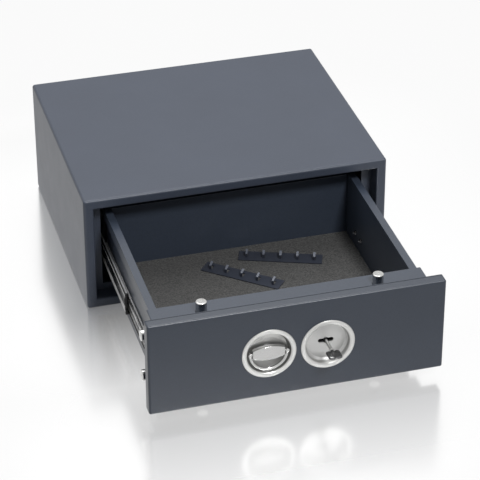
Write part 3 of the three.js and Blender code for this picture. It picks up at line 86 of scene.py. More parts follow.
class Axis(Enum):
    """A direction that a piece is built along, with the turn that takes Z to it."""

    X = (0.0, math.pi / 2, 0.0)
    Y = (-math.pi / 2, 0.0, 0.0)
    Z = (0.0, 0.0, 0.0)


class Side(Enum):
    """Left or right of the safe, seen from the front."""

    LEFT = -1
    RIGHT = 1

    @property
    def word(self) -> str:
        """The side's name as the pieces use it."""
        return self.name.lower()


def depth(distance: float) -> float:
    """Y of a plane that lies a distance behind the face of the drawer front."""
    return FRONT_Y + distance


# Modelling helpers


def deselect_all() -> None:
    """Leaves no object selected, in object mode."""
    if bpy.context.mode != "OBJECT":
        bpy.ops.object.mode_set(mode="OBJECT")
    bpy.ops.object.select_all(action="DESELECT")


def activate(piece: Piece) -> None:
    """Selects one object alone and makes it the active one.

    Args:
        piece: the object.
    """
    deselect_all()
    piece.select_set(True)
    bpy.context.view_layer.objects.active = piece


@contextmanager
def editing(piece: Piece) -> Iterator[None]:
    """Edit mode on one object.

    Args:
        piece: the mesh object to edit.

    Returns:
        A context in which the object is in edit mode.
    """
    activate(piece)
    bpy.ops.object.mode_set(mode="EDIT")
    yield
    bpy.ops.object.mode_set(mode="OBJECT")


def pick_corners() -> None:
    """Selects all vertices of the mesh in edit mode."""
    bpy.ops.mesh.select_mode(type="VERT")
    bpy.ops.mesh.select_all(action="SELECT")


def pick_faces(piece: Piece, test: PlaceTest) -> None:
    """Selects the faces that pass a test, in edit mode.

    Args:
        piece: the object in edit mode.
        test: is given a face's centre in millimetres and its normal.
    """
    bpy.ops.mesh.select_mode(type="FACE")
    bpy.ops.mesh.select_all(action="DESELECT")
    mesh = bmesh.from_edit_mesh(piece.data)
    for face in mesh.faces:
        if test(face.calc_center_median() / MM, face.normal):
            face.select_set(True)
    bmesh.update_edit_mesh(piece.data)


def pick_edges(piece: Piece, test: PlaceTest) -> None:
    """Selects the edges that pass a test, in edit mode.

    Args:
        piece: the object in edit mode.
        test: is given an edge's middle in millimetres and its direction.
    """
    bpy.ops.mesh.select_mode(type="EDGE")
    bpy.ops.mesh.select_all(action="DESELECT")
    mesh = bmesh.from_edit_mesh(piece.data)
    for edge in mesh.edges:
        start, end = (corner.co for corner in edge.verts)
        if test((start + end) / (2 * MM), (end - start).normalized()):
            edge.select_set(True)
    bmesh.update_edit_mesh(piece.data)


def open_faces(piece: Piece, test: PlaceTest) -> None:
    """Deletes the faces that pass a test, so that a solid becomes a folded surface.

    Args:
        piece: the object.
        test: picks the faces, as pick_faces does.
    """
    with editing(piece):
        pick_faces(piece, test)
        bpy.ops.mesh.delete(type="FACE")


def turn_outwards() -> None:
    """Makes all faces of the mesh in edit mode point outwards."""
    bpy.ops.mesh.select_all(action="SELECT")
    bpy.ops.mesh.normals_make_consistent(inside=False)


def near(value: float, *targets: float, within: float = 0.05) -> bool:
    """Whether a value in millimetres is close to one of the targets."""
    return any(abs(value - target) <= within for target in targets)


def settle(piece: Piece, name: str) -> Piece:
    """Puts an object's place into its mesh and names it.

    Args:
        piece: the object.
        name: its new name.

    Returns:
        The object, at the origin, unturned and unscaled.
    """
    activate(piece)
    bpy.ops.object.transform_apply(location=True, rotation=True, scale=True)
    piece.name = name
    piece.data.name = name
    return piece


def add_block(name: str, low: Point, high: Point) -> Piece:
    """A cube primitive at its size and place.

    Args:
        name: the object's name.
        low: its lowest corner, in millimetres.
        high: its highest corner, in millimetres.

    Returns:
        The new object.
    """
    deselect_all()
    middle = (Vector(low) + Vector(high)) / 2 * MM
    bpy.ops.mesh.primitive_cube_add(size=1, location=middle)
    piece = bpy.context.active_object
    piece.scale = (Vector(high) - Vector(low)) * MM
    return settle(piece, name)


def add_rod(
    name: str, axis: Axis, centre: Point, radius: float, length: float, steps: int = 48,
) -> Piece:
    """A cylinder primitive at its size and place.

    Args:
        name: the object's name.
        axis: the direction of its length.
        centre: the middle of the cylinder, in millimetres.
        radius: its radius, in millimetres.
        length: its length, in millimetres.
        steps: the sides of its round.

    Returns:
        The new object.
    """
    deselect_all()
    bpy.ops.mesh.primitive_cylinder_add(
        vertices=steps, radius=radius * MM, depth=length * MM,
        location=Vector(centre) * MM, rotation=axis.value,
    )
    return settle(bpy.context.active_object, name)


def add_ball(name: str, centre: Point, radius: float, steps: int) -> Piece:
    """A sphere primitive at its size and place.

    Args:
        name: the object's name.
        centre: its centre, in millimetres.
        radius: its radius, in millimetres.
        steps: the sides of its round.

    Returns:
        The new object.
    """
    deselect_all()
    bpy.ops.mesh.primitive_uv_sphere_add(
        segments=steps, ring_count=steps // 2, radius=radius * MM, location=Vector(centre) * MM,
    )
    return settle(bpy.context.active_object, name)


def trace(name: str, points: Sequence[Point]) -> Piece:
    """A chain of edges through points, extruded corner by corner from one vertex.

    Args:
        name: the object's name.
        points: the chain's corners, in millimetres.

    Returns:
        The new object.
    """
    deselect_all()
    bpy.ops.mesh.primitive_plane_add(size=MM, location=Vector(points[0]) * MM)
    piece = settle(bpy.context.active_object, name)
    with editing(piece):
        pick_corners()
        bpy.ops.mesh.merge(type="CENTER")
        for before, after in zip(points, points[1:]):
            step = (Vector(after) - Vector(before)) * MM
            bpy.ops.mesh.extrude_vertices_move(TRANSFORM_OT_translate={"value": step})
    return piece


def add_outline(name: str, points: Sequence[Point], push: Point) -> Piece:
    """A flat outline filled with a face and extruded into a solid.

    Args:
        name: the object's name.
        points: the outline's corners in order, in millimetres.
        push: the vector that the face is extruded by, in millimetres.

    Returns:
        The new object.
    """
    piece = trace(name, points)
    with editing(piece):
        pick_corners()
        bpy.ops.mesh.edge_face_add()
        bpy.ops.mesh.extrude_region_move(TRANSFORM_OT_translate={"value": Vector(push) * MM})
        turn_outwards()
    return piece


def spin_profile(
    name: str, profile: Profile, centre: tuple[float, float], steps: int = 96,
) -> Piece:
    """A profile spun about an axis that runs along Y.

    Args:
        name: the object's name.
        profile: points of radius and depth behind the drawer front, in millimetres.
        centre: X and Z of the axis, in millimetres.
        steps: the sides of the round.

    Returns:
        The new object.
    """
    merged = 0.002 * MM
    x, z = centre
    piece = trace(name, [(x + radius, depth(back), z) for radius, back in profile])
    with editing(piece):
        pick_corners()
        bpy.ops.mesh.spin(
            steps=steps, angle=2 * math.pi, center=Vector((x, 0, z)) * MM, axis=(0, 1, 0),
        )
        bpy.ops.mesh.select_all(action="SELECT")
        bpy.ops.mesh.remove_doubles(threshold=merged)
        turn_outwards()
    return piece


def rounded(corners: Sequence[Corner], closed: bool = True, steps: int = 5) -> Profile:
    """A polyline whose corners are rounded.

    A fillet takes less than half of each line beside it, and a line that runs almost
    straight on gets none.

    Args:
        corners: two coordinates and a fillet radius for each corner.
        closed: whether the last corner joins the first.
        steps: the facets of each fillet.

    Returns:
        The points of the rounded line.
    """
    most_of_line, straight = 0.49, math.radians(89.5)
    made: Profile = []
    count = len(corners)
    for i, (a, b, radius) in enumerate(corners):
        here = Vector((a, b))
        to_last = Vector(corners[i - 1][:2]) - here
        to_next = Vector(corners[(i + 1) % count][:2]) - here
        is_end = not closed and i in (0, count - 1)
        if radius <= 0 or is_end or to_last.angle(to_next) / 2 > straight:
            made.append((a, b))
            continue
        half = to_last.angle(to_next) / 2
        room = most_of_line * min(to_last.length, to_next.length)
        reach = min(radius / math.tan(half), room)
        last_way, next_way = to_last.normalized(), to_next.normalized()
        middle = here + (last_way + next_way).normalized() * (reach / math.cos(half))
        turn_from = here + last_way * reach - middle
        swing = turn_from.angle_signed(here + next_way * reach - middle)
        for step in range(steps + 1):
            spoke = turn_from.copy()
            spoke.rotate(Matrix.Rotation(-swing * step / steps, 2))
            made.append(tuple(middle + spoke))
    return made


def rounded_slot(
    middle: tuple[float, float], half: tuple[float, float], radius: float, steps: int = 5,
) -> Profile:
    """The outline of a slot with rounded ends.

    Args:
        middle: the two coordinates of its middle.
        half: half its length and half its width.
        radius: the radius of its corners.
        steps: the facets of each corner.

    Returns:
        The points of the outline.
    """
    (a, b), (run, rise) = middle, half
    return rounded([
        (a - run, b - rise, radius), (a + run, b - rise, radius),
        (a + run, b + rise, radius), (a - run, b + rise, radius),
    ], steps=steps)


def moved(corners: Sequence[Corner], a: float, b: float) -> list[Corner]:
    """Corners with their two coordinates moved and their fillet radii kept."""
    return [(a + run, b + rise, radius) for run, rise, radius in corners]


def copy_piece(piece: Piece, name: str, shift: Point = (0, 0, 0)) -> Piece:
    """A copy of a piece with its own mesh, moved.

    Args:
        piece: the piece to copy.
        name: the copy's name.
        shift: how far it is moved, in millimetres.

    Returns:
        The copy.
    """
    activate(piece)
    bpy.ops.object.duplicate(linked=False)
    twin = bpy.context.active_object
    twin.location = Vector(shift) * MM
    return settle(twin, name)


def turned_copy(piece: Piece, name: str, at: Point, angle: float, axis: str) -> Piece:
    """A copy of a piece at the origin, turned about it and then moved.

    Args:
        piece: the piece to copy.
        name: the copy's name.
        at: where its origin goes, in millimetres.
        angle: the turn, in radians.
        axis: the axis of the turn.

    Returns:
        The copy.
    """
    twin = copy_piece(piece, name)
    twin.matrix_world = Matrix.Translation(Vector(at) * MM) @ Matrix.Rotation(angle, 4, axis)
    return settle(twin, name)


def mirror_copy(piece: Piece, name: str) -> Piece:
    """A copy of a piece mirrored from one side of the safe to the other.

    Args:
        piece: the piece to copy.
        name: the copy's name.

    Returns:
        The mirrored copy.
    """
    twin = copy_piece(piece, name)
    with editing(twin):
        bpy.ops.mesh.select_all(action="SELECT")
        bpy.ops.transform.mirror(
            orient_type="GLOBAL", constraint_axis=(True, False, False), center_override=(0, 0, 0),
        )
        turn_outwards()
    return twin


def modify(piece: Piece, kind: str, **settings: object) -> None:
    """Adds a modifier to a piece and applies it.

    Args:
        piece: the object.
        kind: the modifier's type.
        settings: the modifier's properties, by name.
    """
    modifier = piece.modifiers.new(kind.lower(), kind)
    for name, value in settings.items():
        setattr(modifier, name, value)
    activate(piece)
    bpy.ops.object.modifier_apply(modifier=modifier.name)


def thicken(piece: Piece, sheet: float) -> None:
    """Gives a folded surface with its faces pointing out its thickness, on its inner side."""
    modify(piece, "SOLIDIFY", thickness=sheet * MM, offset=-1, use_even_offset=True)


def combine(piece: Piece, operation: str, others: Sequence[Piece]) -> None:
    """Combines closed meshes with a piece one by one, and removes them.

    Args:
        piece: the piece that changes.
        operation: the boolean operation.
        others: the closed meshes.
    """
    for other in others:
        modify(piece, "BOOLEAN", operation=operation, solver="EXACT", object=other)
        bpy.data.objects.remove(other)


def cut_with(piece: Piece, *tools: Piece) -> None:
    """Cuts closed meshes out of a piece."""
    combine(piece, "DIFFERENCE", tools)


def fuse(piece: Piece, *others: Piece) -> None:
    """Fuses closed meshes that overlap a piece into it."""
    combine(piece, "UNION", others)


def gather(piece: Piece, others: Sequence[Piece]) -> None:
    """Joins separate bodies, such as screws on a plate, into one object.

    Args:
        piece: the object that keeps its name.
        others: the objects that join it.
    """
    activate(piece)
    for other in others:
        other.select_set(True)
    bpy.ops.object.join()


def round_picked(piece: Piece, test: PlaceTest, radius: float, steps: int) -> None:
    """Rounds the edges of a piece that pass a test.

    Args:
        piece: the object.
        test: picks the edges, as pick_edges does.
        radius: the width of the rounding, in millimetres.
        steps: its facets.
    """
    with editing(piece):
        pick_edges(piece, test)
        bpy.ops.mesh.bevel(
            offset=radius * MM, offset_type="OFFSET", segments=steps, profile=0.5, affect="EDGES",
        )


def soften(piece: Piece, radius: float, steps: int, angle: float = 30) -> None:
    """Rounds every sharp edge of a piece.

    Args:
        piece: the object.
        radius: the width of the rounding, in millimetres.
        steps: its facets.
        angle: edges that turn by less than this, in degrees, stay as they are.
    """
    modify(
        piece, "BEVEL", width=radius * MM, segments=steps, limit_method="ANGLE",
        angle_limit=math.radians(angle), use_clamp_overlap=True,
    )


def shade(piece: Piece, angle: float = 35) -> Piece:
    """Smooth shading with flat faces kept flat.

    Args:
        piece: the object.
        angle: edges that turn by more than this, in degrees, stay sharp.

    Returns:
        The object.
    """
    activate(piece)
    bpy.ops.object.shade_smooth_by_angle(angle=math.radians(angle))
    modify(piece, "WEIGHTED_NORMAL", keep_sharp=True)
    return piece


def refine(node: str, radius: float, steps: int) -> Piece:
    """A CAD node's shape with its facets merged and its edges softened, as a piece of its own.

    Args:
        node: the node's name.
        radius: the width of the rounding of its edges, in millimetres.
        steps: the facets of the rounding.

    Returns:
        The new object.
    """
    merged, flat = 0.01 * MM, math.radians(1)
    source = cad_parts[node]
    piece = source.copy()
    piece.data = source.data.copy()
    bpy.context.scene.collection.objects.link(piece)
    piece.parent = None
    for key in list(piece.keys()):
        del piece[key]
    settle(piece, f"{node}_sheet")
    with editing(piece):
        pick_corners()
        bpy.ops.mesh.customdata_custom_splitnormals_clear()
        bpy.ops.mesh.remove_doubles(threshold=merged)
        bpy.ops.mesh.dissolve_limited(angle_limit=flat)
    soften(piece, radius, steps)
    return shade(piece)


# Finishes


def tinted(colour: Colour, share: float) -> Colour:
    """A colour made darker or lighter by a share of itself."""
    return tuple(part * share for part in colour)


class NodeTree:
    """A node tree with short ways to add nodes and to feed their sockets."""

    def __init__(self, tree: bpy.types.NodeTree) -> None:
        """Keeps the tree that nodes are added to."""
        self.tree = tree

    def feed(self, target: Socket, value: Socket | float | Point) -> None:
        """Links a socket, or sets its own value.

        Args:
            target: the socket.
            value: the socket that drives it, a number, a vector or a colour.
        """
        if isinstance(value, Socket):
            self.tree.links.new(value, target)
        else:
            target.default_value = (*value, 1.0) if target.type == "RGBA" else value

    def add(self, kind: str, **inputs: Socket | float | Point) -> Node:
        """Adds a node and feeds its sockets.

        Args:
            kind: the node's type.
            inputs: socket names with _ for spaces, and what they are fed.

        Returns:
            The node.
        """
        node = self.tree.nodes.new(kind)
        for name, value in inputs.items():
            self.feed(node.inputs[name.replace("_", " ")], value)
        return node

    def math(self, operation: str, *operands: Socket | float) -> Socket:
        """Adds a math node.

        Args:
            operation: what it works out.
            operands: one or two sockets or numbers.

        Returns:
            The result's socket.
        """
        node = self.add("ShaderNodeMath")
        node.operation = operation
        for target, operand in zip(node.inputs, operands):
            self.feed(target, operand)
        return node.outputs[0]

    def mix_shaders(self, share: Socket, first: Node, second: Node) -> Node:
        """Mixes two shaders.

        Args:
            share: how much of the second shader shows.
            first: the first shader.
            second: the second shader.

        Returns:
            The mixed shader.
        """
        node = self.add("ShaderNodeMixShader", Fac=share)
        self.feed(node.inputs[1], first.outputs[0])
        self.feed(node.inputs[2], second.outputs[0])
        return node

    def show(self, shader: Node, output: str) -> None:
        """Links the last shader to the output node of that name."""
        self.feed(self.tree.nodes[output].inputs["Surface"], shader.outputs[0])

    def seen(self) -> Socket:
        """A socket that is 1 for what the camera, reflections and glass see, and 0 for lighting.

        Returns:
            The value socket.
        """
        rays = self.add("ShaderNodeLightPath").outputs
        either = self.math("MAXIMUM", rays["Is Camera Ray"], rays["Is Glossy Ray"])
        return self.math("MAXIMUM", either, rays["Is Transmission Ray"])


class Board(NodeTree):
    """A material with one Principled shader, and patterns on its piece's own coordinates."""

    def __init__(self, name: str) -> None:
        """Makes the material.

        Args:
            name: the finish's name, which the material's name starts with.
        """
        self.material = bpy.data.materials.new(f"{name}_finish")
        self.material.use_nodes = True
        super().__init__(self.material.node_tree)
        self.surface = self.tree.nodes["Principled BSDF"]
        self.place = self.add("ShaderNodeTexCoord").outputs["Object"]

    def set(self, **values: Socket | float | Colour) -> bpy.types.Material:
        """Feeds the Principled shader's own sockets.

        Args:
            values: socket names with _ for spaces, and what they are fed.

        Returns:
            The material.
        """
        for name, value in values.items():
            self.feed(self.surface.inputs[name.replace("_", " ")], value)
        return self.material

    def coordinate(self, axis: str) -> Socket:
        """The X, Y or Z of each place."""
        return self.add("ShaderNodeSeparateXYZ", Vector=self.place).outputs[axis]

    def stretched(self, scale: Point, turn: Point = (0, 0, 0)) -> Socket:
        """Object coordinates scaled along each axis, for a drawn or brushed grain.

        Args:
            scale: the scale along X, Y and Z.
            turn: a turn about each axis, in radians.

        Returns:
            The vector socket.
        """
        mapping = self.add("ShaderNodeMapping", Scale=scale, Rotation=turn, Vector=self.place)
        return mapping.outputs["Vector"]

    def noise(
        self, scale: float, detail: float = 2, roughness: float = 0.5, vector: Socket | None = None,
    ) -> Socket:
        """A noise pattern.

        Args:
            scale: its features per metre.
            detail: its finer layers.
            roughness: how strong the finer layers are.
            vector: the coordinates, or Object coordinates if left out.

        Returns:
            The pattern's value socket.
        """
        return self.add(
            "ShaderNodeTexNoise", Scale=scale, Detail=detail, Roughness=roughness,
            Vector=vector or self.place,
        ).outputs["Fac"]

    def drawn(self, scale: Point, roughness: float = 0.6) -> Socket:
        """A noise pattern stretched along the axes, with its features per metre along each."""
        return self.noise(1, 3, roughness, self.stretched(scale))

    def share(self, value: Socket, low: float, high: float) -> Socket:
        """Maps a coordinate to a share of the way between two places.

        Args:
            value: the coordinate's socket.
            low: the place of share 0, in millimetres.
            high: the place of share 1, in millimetres.

        Returns:
            The share's socket.
        """
        node = self.add("ShaderNodeMapRange", From_Min=low * MM, From_Max=high * MM, Value=value)
        return node.outputs["Result"]

    def ramp(self, value: Socket, stops: Sequence[tuple[float, Colour]]) -> Socket:
        """A colour ramp.

        Args:
            value: the socket that drives it.
            stops: positions and colours.

        Returns:
            The colour socket.
        """
        node = self.add("ShaderNodeValToRGB", Fac=value)
        elements = node.color_ramp.elements
        while len(elements) < len(stops):
            elements.new(0.5)
        for element, (position, colour) in zip(elements, stops):
            element.position = position
            element.color = (*colour, 1.0)
        return node.outputs["Color"]

    def greys(self, value: Socket, stops: Sequence[tuple[float, float]]) -> Socket:
        """A ramp of greys, each given as one number."""
        return self.ramp(value, [(at, (grey, grey, grey)) for at, grey in stops])

    def spread(self, value: Socket, low: float, high: float) -> Socket:
        """Maps a pattern from its middle range to a range of values.

        Args:
            value: the pattern's socket.
            low: the value where the pattern is lowest.
            high: the value where it is highest.

        Returns:
            The value socket.
        """
        return self.add(
            "ShaderNodeMapRange", From_Min=0.3, From_Max=0.7, To_Min=low, To_Max=high, Value=value,
        ).outputs["Result"]

    def blend_colours(self, share: Socket, first: Socket, second: Socket) -> Socket:
        """Mixes two colours by a pattern.

        Args:
            share: how much of the second colour shows.
            first: the first colour socket.
            second: the second colour socket.

        Returns:
            The mixed colour socket.
        """
        node = self.tree.nodes.new("ShaderNodeMix")
        node.data_type = "RGBA"
        colours = [target for target in node.inputs if target.type == "RGBA"]
        for target, source in zip([node.inputs["Factor"], *colours], (share, first, second)):
            self.feed(target, source)
        return next(output for output in node.outputs if output.type == "RGBA")

    def bump(
        self, height: Socket, strength: float, distance: float, under: Socket | None = None,
    ) -> Socket:
        """Bumps the surface by a pattern.

        Args:
            height: the pattern's socket.
            strength: from 0 to 1.
            distance: the height of the bumps, in millimetres.
            under: the normal socket of a coarser bump below this one.

        Returns:
            The normal socket.
        """
        node = self.add("ShaderNodeBump", Strength=strength, Distance=distance * MM, Height=height)
        if under:
            self.feed(node.inputs["Normal"], under)
        return node.outputs["Normal"]


@dataclass(frozen=True)
class PowderCoat:
    """Baked powder paint with a fine orange peel and a faint mottle, and, where heights are given,
    a painted highlight that makes it lighter above them.
    """

    name: str
    colour: Colour
    roughness: float = 0.4
    ior: float = 1.45
    peel: float = 470.0
    peel_height: float = 0.14
    mottle: float = 0.09
    # Painted highlight: between these heights, in millimetres, the colour turns to a lighter tone,
    # standing in for light on the tops.
    rubbed: tuple[float, float] | None = None
    rubbed_colour: Colour = (0.09, 0.10, 0.125)

    def material(self) -> bpy.types.Material:
        """Builds the node material.

        Returns:
            The material.
        """
        board = Board(self.name)
        orange = board.noise(self.peel, detail=1.5)
        grain = board.noise(self.peel * 4, roughness=0.6)
        dark, light = (tinted(self.colour, 1 + way * self.mottle) for way in (-1, 1))
        tint = board.ramp(board.noise(9, detail=3), [(0.35, dark), (0.65, light)])
        fleck = board.ramp(orange, [(0.34, dark), (0.66, light)])
        fleck_share = board.spread(board.noise(140, detail=1), 0.4, 0.9)
        colour = board.blend_colours(fleck_share, tint, fleck)
        # Painted highlight: up the band of heights the colour turns to a lighter flecked tone, for
        # light falling on the tops.
        if self.rubbed:
            thin = board.share(board.coordinate("Z"), *self.rubbed)
            bright = tinted(self.rubbed_colour, 1.3)
            highlight_tone = board.ramp(orange, [(0.3, self.rubbed_colour), (0.7, bright)])
            colour = board.blend_colours(thin, colour, highlight_tone)
        rough = board.spread(
            board.noise(30, detail=3), self.roughness - 0.012, self.roughness + 0.016,
        )
        peel = board.bump(orange, 0.6, self.peel_height)
        normal = board.bump(grain, 0.3, self.peel_height / 4, peel)
        return board.set(
            Metallic=0.0, IOR=self.ior, Base_Color=colour, Roughness=rough, Normal=normal,
        )


@dataclass(frozen=True)
class PlatedSteel:
    """Bright plated steel with a drawn grain along its length and dull patches."""

    name: str
    colour: Colour
    roughness: float = 0.26
    grain: Point = (1800.0, 40.0, 1800.0)
    grain_height: float = 0.02
    dull: float = 0.1

    def material(self) -> bpy.types.Material:
        """Builds the node material.

        Returns:
            The material.
        """
        board = Board(self.name)
        cloud = board.noise(55, detail=4, roughness=0.6)
        colour = board.ramp(cloud, [(0.3, tinted(self.colour, 0.84)), (0.62, self.colour)])
        patches = board.noise(90, detail=4, roughness=0.7)
        rough = board.spread(patches, self.roughness - self.dull / 2, self.roughness + self.dull)
        normal = board.bump(board.drawn(self.grain), 0.3, self.grain_height)
        return board.set(Metallic=1.0, Base_Color=colour, Roughness=rough, Normal=normal)


@dataclass(frozen=True)
class KeySteel:
    """A key's steel: a dark bow that runs into a bright drawn shaft."""

    name: str
    bow_colour: Colour
    shaft_colour: Colour
    bow_end: float = -20.6
    shaft_start: float = -18.4
    roughness: float = 0.3
    grain: Point = (1500.0, 60.0, 1500.0)

    def material(self) -> bpy.types.Material:
        """Builds the node material.

        Returns:
            The material.
        """
        board = Board(self.name)
        run = board.share(board.coordinate("Y"), depth(self.bow_end), depth(self.shaft_start))
        cloud = board.noise(240, detail=3, roughness=0.6)
        bow, shaft = (
            board.ramp(cloud, [(0.3, tinted(shown, 0.8)), (0.65, shown)])
            for shown in (self.bow_colour, self.shaft_colour)
        )
        colour = board.blend_colours(run, bow, shaft)
        rough = board.spread(
            board.noise(300, detail=3), self.roughness - 0.04, self.roughness + 0.06,
        )
        normal = board.bump(board.drawn(self.grain), 0.2, 0.004)
        return board.set(Metallic=1.0, Base_Color=colour, Roughness=rough, Normal=normal)


@dataclass(frozen=True)
class RolledSteel:
    """Zinc-plated slide steel: painted highlights in bright bands along its rolled edges and lips,
    painted shade on its web, and faint grease smears over both.

    The greys of the web run up its height, those of a lip from the web out to its edge.
    """

    name: str
    half_height: float
    inner_x: float
    outer_x: float
    web: tuple[tuple[float, float], ...]
    lip: tuple[tuple[float, float], ...] = (
        (0.0, 0.04), (0.08, 0.04), (0.12, 0.78), (0.64, 0.78), (0.7, 0.04), (1.0, 0.04),
    )
    lip_share: tuple[tuple[float, float], ...] = (
        (0.0, 1.0), (0.04, 1.0), (0.06, 0.0), (0.94, 0.0), (0.96, 1.0),
    )
    # Greys lighter than this are painted highlight bands, and take the highlight metal.
    bright: float = 0.6
    bright_metal: float = 0.15
    grease: tuple[Colour, Colour] = ((0.03, 0.03, 0.03), (0.16, 0.16, 0.155))
    grease_share: float = 0.06
    roughness: float = 0.22

    def material(self) -> bpy.types.Material:
        """Builds the node material.

        Returns:
            The material.
        """
        board = Board(self.name)
        up = board.share(
            board.coordinate("Z"), SLIDE_Z - self.half_height, SLIDE_Z + self.half_height,
        )
        across = board.math("ABSOLUTE", board.coordinate("X"))
        out = board.share(across, self.inner_x, self.outer_x)
        # Painted light: the light bands of these greys are painted highlights, and the dark web is
        # painted shade.
        on_lip = board.greys(up, self.lip_share)
        painted_light_greys = board.blend_colours(on_lip, board.greys(up, self.web), board.greys(out, self.lip))
        smear = board.ramp(
            board.drawn((120, 14, 120), roughness=0.5),
            [(0.35, self.grease[0]), (0.75, self.grease[1])],
        )
        smeared = board.spread(board.noise(40), 0.0, self.grease_share)
        colour = board.blend_colours(smeared, painted_light_greys, smear)
        # The painted highlight bands are made nearly non-metallic, so that they show as light
        # lines.
        web_metal, lip_metal = (
            board.greys(value, [
                (at, self.bright_metal if grey > self.bright else 1.0) for at, grey in stops
            ]) for value, stops in ((up, self.web), (out, self.lip))
        )
        plating = board.blend_colours(on_lip, web_metal, lip_metal)
        rough = board.spread(
            board.noise(90, detail=4, roughness=0.7), self.roughness - 0.03, self.roughness + 0.08,
        )
        normal = board.bump(board.drawn((500, 12, 500)), 0.1, 0.01)
        return board.set(Metallic=plating, Base_Color=colour, Roughness=rough, Normal=normal)


@dataclass(frozen=True)
class TurnedNickel:
    """Satin nickel with fine turning rings about an axis along Y; rougher inside the cup, and
    darker there as painted shade.
    """

    name: str
    colour: Colour
    # The colour inside the cup, darker than the rim's: painted shade in the hollow.
    cup_colour: Colour
    centre_x: float
    roughness: float = 0.34
    cup_roughness: float = 0.5
    cup_start: float = 0.3
    cup_end: float = 3.0
    ring_pitch: float = 0.25

    def material(self) -> bpy.types.Material:
        """Builds the node material.

        Returns:
            The material.
        """
        board = Board(self.name)
        centred = board.add(
            "ShaderNodeMapping", Location=(-self.centre_x * MM, 0, -FITTING_Z * MM),
            Vector=board.place,
        )
        rings = board.add(
            "ShaderNodeTexWave", Scale=1 / (self.ring_pitch * MM) / 20, Distortion=0.4,
            Vector=centred.outputs["Vector"],
        )
        rings.wave_type = "RINGS"
        rings.rings_direction = "Y"
        # Painted shade: from the rim into the cup the colour turns to the darker one, while the
        # roughness rises.
        cup = board.share(board.coordinate("Y"), depth(self.cup_start), depth(self.cup_end))
        cloud = board.noise(45, detail=3)
        bright, dull = (
            board.ramp(cloud, [(0.3, tinted(shown, 0.96)), (0.65, shown)])
            for shown in (self.colour, self.cup_colour)
        )
        colour = board.blend_colours(cup, bright, dull)
        rough = board.add(
            "ShaderNodeMapRange", To_Min=self.roughness, To_Max=self.cup_roughness, Value=cup,
        ).outputs["Result"]
        turned = board.bump(rings.outputs["Fac"], 0.15, 0.008)
        normal = board.bump(board.noise(900), 0.06, 0.01, turned)
        return board.set(Metallic=1.0, Base_Color=colour, Roughness=rough, Normal=normal)


@dataclass(frozen=True)
class CarpetPile:
    """Needle felt: matted fibres in two greys, with no shine."""

    name: str
    dark: Colour
    light: Colour
    fibre_scale: float = 1100.0
    fibre_stretch: Point = (1.0, 0.45, 1.0)
    fibre_turn: Point = (0.0, 0.0, 0.7)

    def material(self) -> bpy.types.Material:
        """Builds the node material.

        Returns:
            The material.
        """
        board = Board(self.name)
        tufts = board.noise(330, detail=3, roughness=0.75)
        lie = board.stretched(self.fibre_stretch, self.fibre_turn)
        fibres = board.noise(self.fibre_scale, detail=3, roughness=0.7, vector=lie)
        tuft_colour = board.ramp(tufts, [(0.4, self.dark), (0.6, self.light)])
        fibre_colour = board.ramp(fibres, [(0.38, self.dark), (0.66, self.light)])
        fibre_share = board.spread(board.noise(24, detail=3), 0.2, 0.45)
        colour = board.blend_colours(fibre_share, tuft_colour, fibre_colour)
        normal = board.bump(fibres, 0.7, 0.4, board.bump(tufts, 1.0, 1.2))
        return board.set(
            Metallic=0.0, Roughness=0.95, Sheen_Weight=0.1, Sheen_Roughness=0.6,
            Base_Color=colour, Normal=normal,
        )


@dataclass(frozen=True)
class MouldedPlastic:
    """Black moulded plastic with a fine spark-eroded grain."""

    name: str
    colour: Colour
    roughness: float = 0.42

    def material(self) -> bpy.types.Material:
        """Builds the node material.

        Returns:
            The material.
        """
        board = Board(self.name)
        grain = board.noise(1600)
        colour = board.ramp(grain, [(0.35, self.colour), (0.7, tinted(self.colour, 1.6))])
        rough = board.spread(board.noise(70), self.roughness - 0.05, self.roughness + 0.06)
        normal = board.bump(grain, 0.3, 0.03)
        return board.set(
            Metallic=0.0, IOR=1.46, Base_Color=colour, Roughness=rough, Normal=normal,
        )


